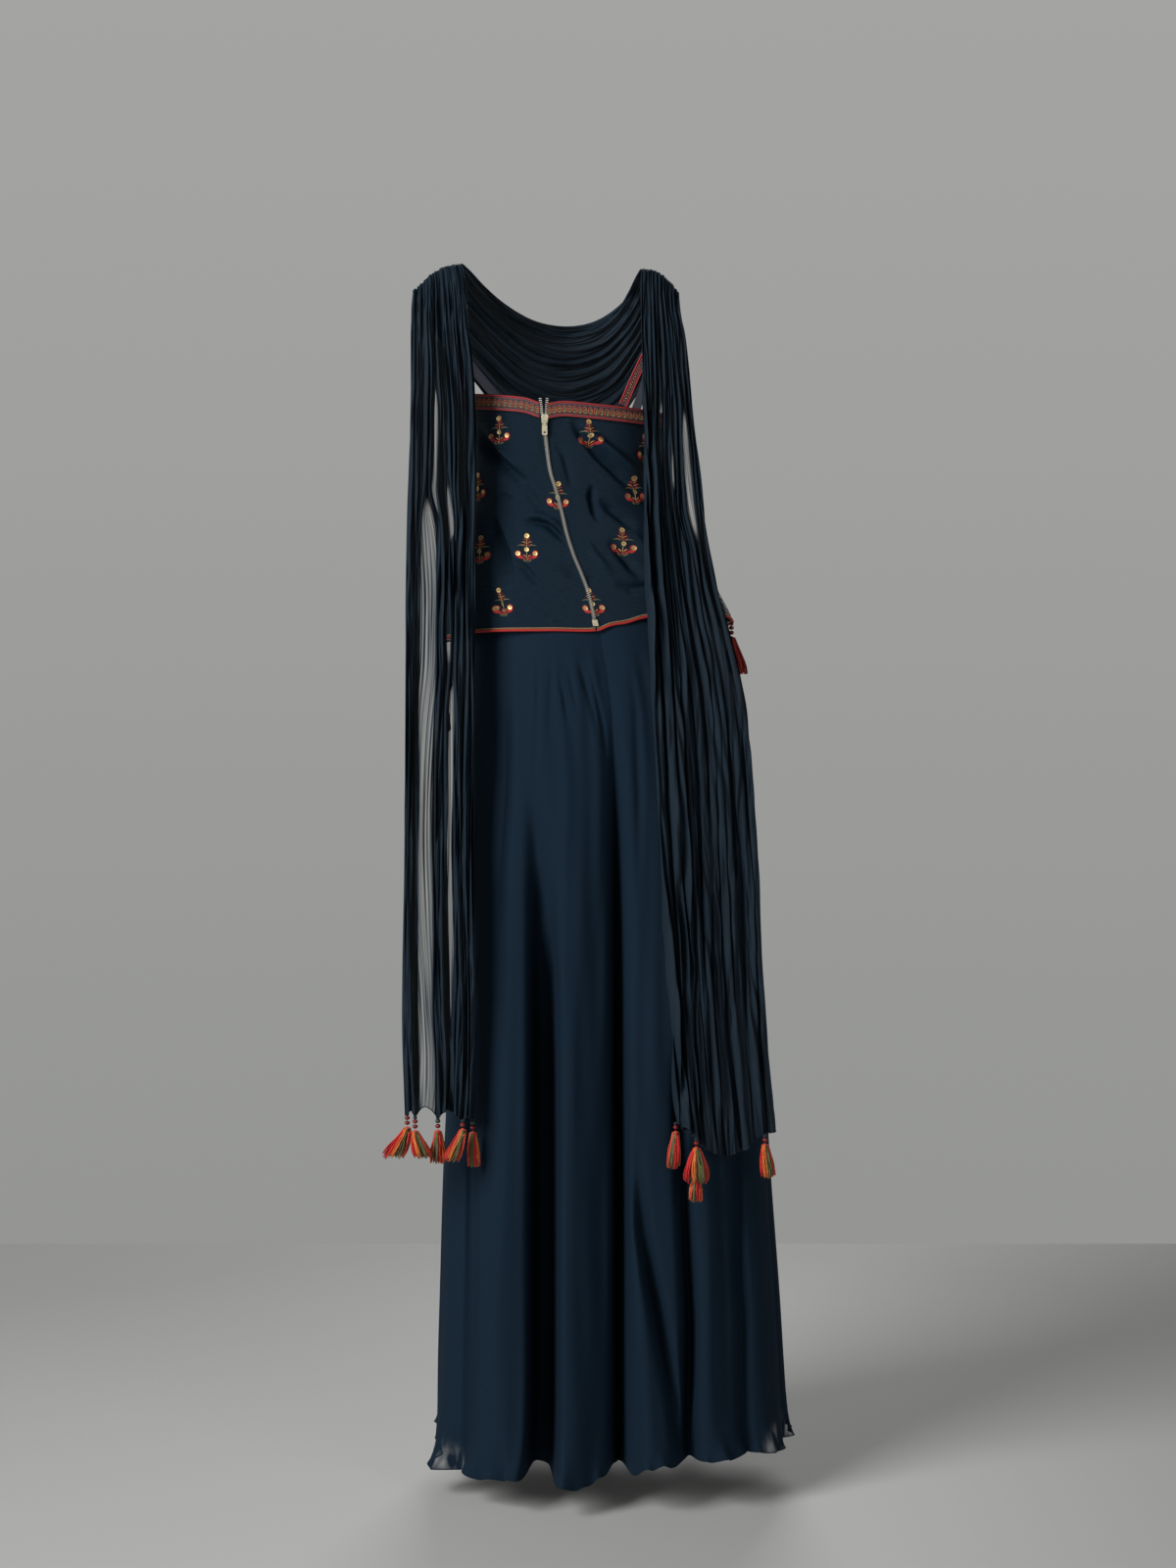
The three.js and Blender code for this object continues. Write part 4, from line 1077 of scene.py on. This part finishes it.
def crotch_reach(level):
    """How far toward the inseam a panel reaches: a seam's width at the top, all the way below the crotch."""
    t = np.clip((CROTCH_START - level) / (CROTCH_START - CROTCH_POINT), 0, 1)
    return lerp(SEAM_ALLOWANCE, 1, t * t)


def leg_shell(side, back, s, level):
    """Points of a leg panel with its folds and wavy hem, and how near the hem they count as.

    s is 0 at the side seam, 1 at the division and 2 at the inseam. level is the height before the hem waves.
    """
    end = np.broadcast_to(division_angle(side, back, level[:, :1]), s.shape)
    outer = np.minimum(s, 1)
    angle = lerp(side * QUARTER, end, outer)
    arc = np.abs(angle - end) * reach(PALAZZO, end, level)
    valley_width = SHADED_WIDTH if back and side < 0 else DIVISION_WIDTH
    valley = look(DIVISION, "depth", level) * np.exp(-arc / valley_width)
    hem = look(PALAZZO_HEM, "z", wrap_degrees(angle))
    v = (LEG_TOP - level) / (LEG_TOP - LEG_BOTTOM)
    turn = angle / FULL
    near_hem = np.exp(-(1 - v) * (LEG_TOP - LEG_BOTTOM) / HEM_CURL)
    z = lerp(LEG_TOP, hem, v) + HEM_LIFT * (hem_lift(turn, 0) + 0.8 * hem_curl(turn, 0)) * near_hem * outer
    x = look(PALAZZO, "centre", z) + reach(PALAZZO, angle, z) * np.sin(angle)
    creases = crease_depth(LEG_CREASES if back else FRONT_LEG_CREASES, x, z)
    below_top = 1 - smooth(z, *FOLDS_START)
    off_seam = smooth(arc, 2, 16) * smooth(np.abs(angle - side * QUARTER), 0.01, 0.12)
    run = z / LEG_WAVE_LENGTH
    soft = LEG_SWELL * leg_swell(turn, run) + LEG_RIPPLE * leg_ripple(turn, run)
    straight_in = (creases + soft) * below_top * off_seam
    side_hollow = hollow_depth(angle, level) * smooth(np.abs(wrap_degrees(angle)), *BACK_ONLY)
    sideways = 0.85 + 0.15 * np.sin(angle) ** 2
    flare = (HEM_WAVE * hem_wave(turn, 0) + HEM_FLARE) * near_hem**1.5
    flare = flare + HEM_TURN * hem_curl(turn, 0) * near_hem**4
    flare = flare * sideways * smooth(arc, 0, 20)
    groove = GROOVE * smooth(-level, *GROOVE_START) * np.exp(-((arc / GROOVE_WIDTH) ** 2)) if back else 0
    point = ring_point(PALAZZO, angle, z, flare - side_hollow - valley)
    point[..., 1] += straight_in * np.cos(angle) + groove
    point[..., 1] = lerp(point[..., 1], 0, np.clip(s - 1, 0, 1))
    side_share = 0.3 + 0.7 * smooth(np.abs(wrap_degrees(angle)), 45, 68)
    return point, near_hem * side_share * (1 - 0.8 * smooth(straight_in, 10, 40))


def leg_columns(side, back, low, high, count):
    """Values of s spaced evenly along the hem."""
    fine = np.linspace(low, high, FINE_STEPS)[None, :]
    length = lengths(leg_shell(side, back, fine, np.full(fine.shape, float(LEG_BOTTOM)))[0][0])
    return np.interp(np.linspace(0, length[-1], count), length, fine[0])


def leg_panel(side_name, side, face_name):
    back = face_name == "back"
    outer = leg_columns(side, back, 0, 1, 190)
    inner = leg_columns(side, back, 1, 2, 30)[1:]
    columns = np.concatenate([outer, inner])[None, :]
    v = np.linspace(0, 1, LEG_ROWS)[:, None]
    level = np.broadcast_to(lerp(LEG_TOP, LEG_BOTTOM, v), (LEG_ROWS, columns.shape[1]))
    s = np.minimum(columns, 1) + np.maximum(columns - 1, 0) * crotch_reach(level)
    points, near_hem = leg_shell(side, back, s, level)
    mesh = Mesh(f"georgette_{face_name}_{side_name}")
    mesh.grid(points, uv=pair(s * LEG_SPREAD, level) * MM, sheer=smooth(near_hem, 0.42, 0.8))
    mesh.tube(points[-1], HEM_ROLL, 5)
    piece = mesh.make(["georgette"], f"palazzo_{face_name}_{side_name}")


leg_panel("left", -1, "back")
leg_panel("left", -1, "front")
leg_panel("right", 1, "back")
leg_panel("right", 1, "front")


# The scarf
def scarf_edge(edge, step):
    return read(SCARF, (edge + "X", edge + "Y", edge + "Z"), step)


def scarf_middle(across, step):
    return lerp(scarf_edge("inner", step), scarf_edge("outer", step), np.asarray(across)[..., None])


def scarf_normal(across, step):
    """Straight out of the scarf at a share of its width and a step along it."""
    width = scarf_edge("outer", step) - scarf_edge("inner", step)
    along = scarf_middle(across, step + 0.02) - scarf_middle(across, step - 0.02)
    return unit(np.cross(width, along))


def pleat_shift(share):
    """Makes the pleats uneven in width."""
    return 0.018 * np.sin(6 * math.pi * share)


# Thin places between the pleats: their place in the cloth's width, their width across the fall,
# and the steps between which they are open
LEFT_GAPS = [
    (0.72, 0.27, 0.0, 4.9), (0.62, 0.06, 4.4, 6.1), (0.40, 0.09, 0.5, 3.3), (0.42, 0.04, 4.2, 5.0),
    (0.48, 0.03, 3.2, 3.9),
]
RIGHT_GAPS = [(0.40, 0.05, 24.1, 25.1), (0.58, 0.07, 24.0, 25.3), (0.84, 0.12, 24.2, 25.8)]
GAP_EDGE = 0.03
SHOULDER_RISE = 9
LEAN = 0.22

# Pleats of three sizes: how many there are, their share of the depth, how much of it they lose where
# the cloth spreads, and how they wander and change
PLEATS = [
    (SCARF_PLEATS, 0.46, 0.3, 1.5, waves(41, 14, 4, 0.30), waves(42, 12, 7, 0.35)),
    (23, 0.30, 0.7, 2.4, waves(45, 14, 5, 0.35), waves(46, 12, 10, 0.45)),
    (39, 0.17, 0.85, 2.8, waves(47, 14, 6, 0.40), waves(48, 12, 14, 0.6)),
]
crinkle = waves(43, 12, 34, 1.3)
fine_crinkle = waves(44, 14, 62, 2.6)
CRINKLE = 1.1
WAVE_LENGTH = 150
STEP_LENGTH = 0.13
SCARF_CENTRE = 15
SHOULDER_SOFT = 1.6
SPREAD_STEPS = (24.2, 27.5)
SPREAD_SHARES = (0.26, 0.5)
SCARF_ROLL = 0.7


def run_table():
    """The scarf's length along its middle at each step, in wave lengths."""
    steps = np.linspace(0, RIGHT_END, 601)
    return steps, lengths(scarf_middle(0.5, steps)) / WAVE_LENGTH


RUN_STEPS, RUN_LENGTHS = run_table()


def scarf_surface(t, step):
    """The pleated chiffon at a share of its width and a step along it, and how sheer it looks there."""
    gaps = LEFT_GAPS if float(np.mean(step)) < SCARF_CENTRE else RIGHT_GAPS
    run = np.interp(step, RUN_STEPS, RUN_LENGTHS)
    pushed, total, sheer = t, 1, 0
    for place, width, low, high in gaps:
        rise = min(0.5, (high - low) / 2.2)
        strength = smooth(step, low, low + rise) if low > 0 else 1
        strength = strength * (1 - smooth(step, high - rise, high))
        waver = 0.010 * np.sin(2.1 * step + 9 * place)
        open_part = np.clip((t - place - waver) / GAP_EDGE + 0.5, 0, 1)
        pushed = pushed + strength * width * open_part
        total = total + strength * width
        sheer = sheer + smooth(strength, 0.15, 0.6) * np.sin(math.pi * open_part) ** 0.5
    across = pushed / total
    tight = 1 - np.clip(sheer, 0, 1)
    from_shoulder = np.abs(step - SCARF_CENTRE) - (RIGHT_SHOULDER - SCARF_CENTRE)
    over_shoulder = np.exp(-(from_shoulder**2) / SHOULDER_SOFT)
    spread = smooth(step, *SPREAD_STEPS) * smooth(t, *SPREAD_SHARES)
    depth = 0
    for count, share, loss, wander, place, change in PLEATS:
        share = share * (1 - loss * spread)
        phase = FULL * count * (t + pleat_shift(t)) + wander * place(t, run)
        if count == SCARF_PLEATS:
            across = across + LEAN / count * np.sin(2 * phase) * (0.4 + 0.6 * tight)
        depth = depth + share * np.clip(1 + 0.55 * change(t, run), 0.1, 1.6) * np.cos(phase)
    across = np.clip(across, -0.02, 1.02)
    depth = depth * look(SCARF, "pleat", step) * (0.3 + 0.7 * tight)
    depth = (depth + CRINKLE * crinkle(t, run) + fine_crinkle(t, run)) * (1 - 0.8 * over_shoulder)
    point = scarf_middle(across, step) + scarf_normal(0.5, step) * depth[..., None]
    point[..., 2] += SHOULDER_RISE * over_shoulder * np.sin(math.pi * np.clip(across, 0, 1))
    near_end = np.clip((step - RIGHT_SHOULDER) / (RIGHT_END - RIGHT_SHOULDER), 0, 1) ** 9
    point[..., 2] -= look(RIGHT_DIP, "drop", np.clip(across, 0, 1)) * near_end
    near_left_end = np.clip(1 - step / 0.5, 0, 1) ** 2
    point[..., 2] += look(LEFT_LIFT, "lift", np.clip(across, 0, 1)) * near_left_end
    return point, np.clip(sheer, 0, 1)


def scarf_piece(name, low, high, columns, rows, node, flat):
    """A stretch of the scarf between two steps, with a rolled edge at an end of the cloth."""
    t, step = np.meshgrid(np.linspace(0, 1, columns), np.linspace(low, high, rows))
    points, sheer = scarf_surface(t, step)
    mesh = Mesh(name)
    mesh.grid(points, uv=pair(t * flat[0], step * STEP_LENGTH), sheer=sheer)
    if low == 0:
        mesh.tube(points[0], SCARF_ROLL, 5)
    if high == RIGHT_END:
        mesh.tube(points[-1], SCARF_ROLL, 5)
    piece = mesh.make(["chiffon"], node)


# Name, first and last step, columns, rows, node and flat size
scarf_piece("chiffon_left_fall", 0, LEFT_SHOULDER, 420, 175, "dupatta_left_fall", (0.52, 1.08))
scarf_piece("chiffon_front", LEFT_SHOULDER, RIGHT_SHOULDER, 400, 100, "dupatta_front_drape", (0.40, 0.42))
scarf_piece("chiffon_right_fall", RIGHT_SHOULDER, RIGHT_END, 420, 175, "dupatta_right_fall", (0.60, 1.08))


# Tassels
THREAD_COUNT = 100
THREAD_STEPS = 7
TIE_RADIUS = 4.3
TIE_PITCH = 0.42
KNOT_RADIUS = 1.7


def strands(mesh, rng, root, length, spread_out, lean, marks):
    """Loose threads that hang from a head in locks of one colour each."""
    steps = np.linspace(0, 1, THREAD_STEPS)
    locks = len(marks)
    for i in range(THREAD_COUNT):
        lock = i % locks
        turn = FULL * (lock + rng.uniform(0.0, 1.0)) / locks
        far = math.sqrt(rng.uniform(0.05, 1)) * spread_out
        long = length * rng.uniform(0.84, 1.03)
        bow = rng.uniform(0.9, 1.5)
        bulge = 3.3 * (1 - steps) + far * np.sin(QUARTER * steps) ** bow
        x = bulge * math.cos(turn) + lean * steps**1.2
        y = bulge * math.sin(turn)
        shake = 0.35 * np.sin(steps * rng.uniform(5, 12) + rng.uniform(0, 6))
        path = root + vec(x + shake, y + shake, -long * steps)
        mesh.tube(path, np.linspace(1.15, 0.85, THREAD_STEPS), 3, marks[lock], up=(0.3, 1, 0.2))


CORAL, BRIGHT, AMBER, OLIVE, BEAD_RED, BEAD_GREEN, CORD = range(7)
HEM_LOOKS = [
    "coral_thread", "bright_red_thread", "amber_thread", "olive_thread", "red_bead", "green_bead",
    "navy_thread",
]
SIDE_LOOKS = 2 * ["dark_red_thread", "deep_red_thread"] + ["red_bead", "red_bead", "dark_red_thread"]


def tassel(name, node, top, tiers, looks, seed):
    """Tiers of beads, each over a bound head of threads, on a cord from a knot at the top."""
    rng = np.random.default_rng(seed)
    mesh = Mesh(name)
    z = top[2]
    for beads, length, spread_out, lean, marks, bead_marks in tiers:
        for i in range(beads):
            z -= BEAD_RADIUS * 1.9
            centre = (top[0], top[1], z + BEAD_RADIUS * 0.4)
            mark = bead_marks[i % len(bead_marks)]
            mesh.ball(centre, (BEAD_RADIUS, BEAD_RADIUS, BEAD_RADIUS * 0.86), mark, 14, 9)
        z -= HEAD_RADIUS * 1.7
        head = np.array((top[0], top[1], z))
        mesh.ball(head, (HEAD_RADIUS * 0.86, HEAD_RADIUS * 0.86, HEAD_RADIUS), marks[0], 14, 9)
        turn = np.linspace(0, 5 * FULL, 70)
        tie = head + vec(*around((0, 0), TIE_RADIUS, turn), -2.2 - TIE_PITCH * turn / FULL)
        mesh.tube(tie, 0.45, 4, marks[1])
        strands(mesh, rng, head + (0, 0, HEAD_RADIUS * 0.55), length + HEAD_RADIUS, spread_out, lean, marks)
        z -= TIER_DROP
    bottom = z + TIER_DROP
    mesh.tube(vec(top[0], top[1], np.linspace(top[2] + 0.6, bottom, 6)), 0.7, 6, CORD)
    turn = np.linspace(0, 3 * FULL, 40)
    knot = np.array(top) + vec(*around((0, 0), KNOT_RADIUS, turn), 0.8 - 0.7 * turn / FULL)
    mesh.tube(knot, 0.8, 5, CORD)
    mesh.make(looks, node)


def solid_scarf_point(across, step):
    """A point of the scarf's solid, where a tassel hangs."""
    wave = np.cos(FULL * SCARF_PLEATS * (across + pleat_shift(across)))
    point = scarf_middle(across, step) + scarf_normal(across, step) * look(SCARF, "pleat", step) * wave
    if step > RIGHT_SHOULDER:
        point[2] -= look(RIGHT_DIP, "drop", across)
    return point


MIXED = [CORAL, CORAL, BRIGHT, AMBER, CORAL, OLIVE, BRIGHT, AMBER]
WARM = [CORAL, AMBER, OLIVE, CORAL, BRIGHT, AMBER, OLIVE, CORAL]
RED_BEADS = [BEAD_RED]
GREEN_FIRST = [BEAD_GREEN, BEAD_RED]
# Name, step and share of the scarf's width, how much lower it hangs, slot, then tiers: beads, length, spread,
# lean, and the looks of the threads and beads
TASSELS = [
    ("left_1", 0, 0.995, 0, "thread_orange", [(2, 31, 14, -16, WARM, RED_BEADS)]),
    ("left_2", 0, 0.86, 0, "thread_coral", [(2, 27, 11, 9, WARM, RED_BEADS)]),
    ("left_3", 0, 0.53, 0, "thread_coral", [(2, 34, 9.5, 0, MIXED, GREEN_FIRST)]),
    ("left_4", 0, 0.15, 0, "thread_orange", [(1, 33, 9.5, -14, WARM, RED_BEADS)]),
    ("left_5", 0, 0.005, 0, "thread_coral", [(2, 36, 7.5, 1, MIXED, GREEN_FIRST)]),
    ("right_1", 30, 0.005, 0, "thread_coral", [(1, 38, 7.5, -3, MIXED, RED_BEADS)]),
    ("right_2", 30, 0.13, 0.5, "thread_olive",
     [(1, 36, 15, 0, WARM, RED_BEADS), (0, 24, 8, 0, MIXED, RED_BEADS)]),
    ("right_3", 30, 0.84, 0, "thread_orange", [(1, 34, 8.5, 4, WARM, RED_BEADS)]),
]
for seed, (side_name, at_step, across, lower, slot_name, tiers) in enumerate(TASSELS):
    hang = solid_scarf_point(across, at_step) - (0, 0, 0.5 + lower)
    tassel(f"hem_tassel_{side_name}", f"tassel_{side_name}", hang, tiers, HEM_LOOKS, 60 + seed)

SIDE_HEM_LEVEL = -43
for side_name, side, tiers in [
    ("right", 1, [(2, 40, 13, 7, MIXED, RED_BEADS)]),
    ("left", -1, [(3, 30, 7, 4, MIXED, RED_BEADS), (2, 33, 7, 3, MIXED, RED_BEADS)]),
]:
    hang = ring_point(TOP, side * QUARTER, SIDE_HEM_LEVEL)
    hang[2] = hem_height(side * QUARTER) - PIPING_GAP - PIPING_HEIGHT - 0.5
    node_name = f"latkan_{side_name}"
    tassel(f"side_tassel_{side_name}", node_name, hang, tiers, SIDE_LOOKS, 80 + side)


# Floor, light and camera
def floor():
    mesh = bpy.data.meshes.new("floor")
    corners = [(-1, -1), (1, -1), (1, 1), (-1, 1)]
    mesh.from_pydata([(x * FLOOR_HALF, y * FLOOR_HALF, FLOOR_LEVEL) for x, y in corners], [], [[0, 1, 2, 3]])
    material, tree, shader = new_material("floor_painted_light")
    place = tree.nodes.new("ShaderNodeTexCoord").outputs["Object"]
    away = add_node(tree, "ShaderNodeVectorMath", {0: place}, operation="LENGTH").outputs["Value"]
    # The floor lies at its level below the origin, so its middle is this far from it already
    spread = math_node(tree, "MULTIPLY", math_node(tree, "SUBTRACT", away, -FLOOR_LEVEL), 1.6)
    # Painted light: the colour is lighter near the middle and fades to painted shade toward the edges
    shade = ramp(tree, spread, [(0.0, FLOOR_PAINTED_LIGHT), (0.9, FLOOR_PAINTED_SHADE)])
    feed(tree, shader, {"Base Color": shade, "Roughness": 0.6, "Specular IOR Level": 0.2})
    mesh.materials.append(material)
    add_object("floor", mesh)


floor()


LIGHT_TARGET = (0, 0, -0.3)


def area_light(name, place, size, power):
    data = bpy.data.lights.new(name, "AREA")
    data.shape = "RECTANGLE"
    data.size, data.size_y = size
    data.energy = power
    lamp = add_object(name, data)
    lamp.location = place
    lamp.rotation_mode = "QUATERNION"
    lamp.rotation_quaternion = (Vector(LIGHT_TARGET) - Vector(place)).to_track_quat("-Z", "Y")


area_light("key", (-2.5, -2.5, 1.5), (1.8, 2.3), 152)
area_light("fill", (2.4, -3.0, 0.8), (1.4, 2.0), 13)
area_light("back", (0.35, 3.0, 1.0), (1.4, 1.6), 36)

world = bpy.data.worlds.new("studio")
world.use_nodes = True
sky = world.node_tree
direction = sky.nodes.new("ShaderNodeTexCoord").outputs["Generated"]
height = add_node(sky, "ShaderNodeSeparateXYZ", {"Vector": direction}).outputs["Z"]
# From straight down to straight up: a pale wall all round and a dark ceiling
lift = math_node(sky, "MULTIPLY_ADD", height, 0.5, 0.5)
wall = ramp(sky, lift, [
    (0.10, (0.03, 0.03, 0.03)), (0.22, (0.26, 0.263, 0.257)), (0.42, (0.305, 0.31, 0.302)),
    (0.53, (0.352, 0.354, 0.345)), (0.60, (0.372, 0.374, 0.366)), (0.69, (0.03, 0.03, 0.03)),
])
link(sky, wall, sky.nodes["Background"].inputs["Color"])
bpy.context.scene.world = world
bpy.context.scene.view_settings.view_transform = "Standard"

camera_data = bpy.data.cameras.new("camera")
camera_data.lens = CAMERA_LENS
camera_data.sensor_width = SENSOR
camera = add_object("camera", camera_data)
camera.location = CAMERA_PLACE
camera.rotation_euler = (math.radians(90 - CAMERA_TILT), 0, 0)
bpy.context.scene.camera = camera
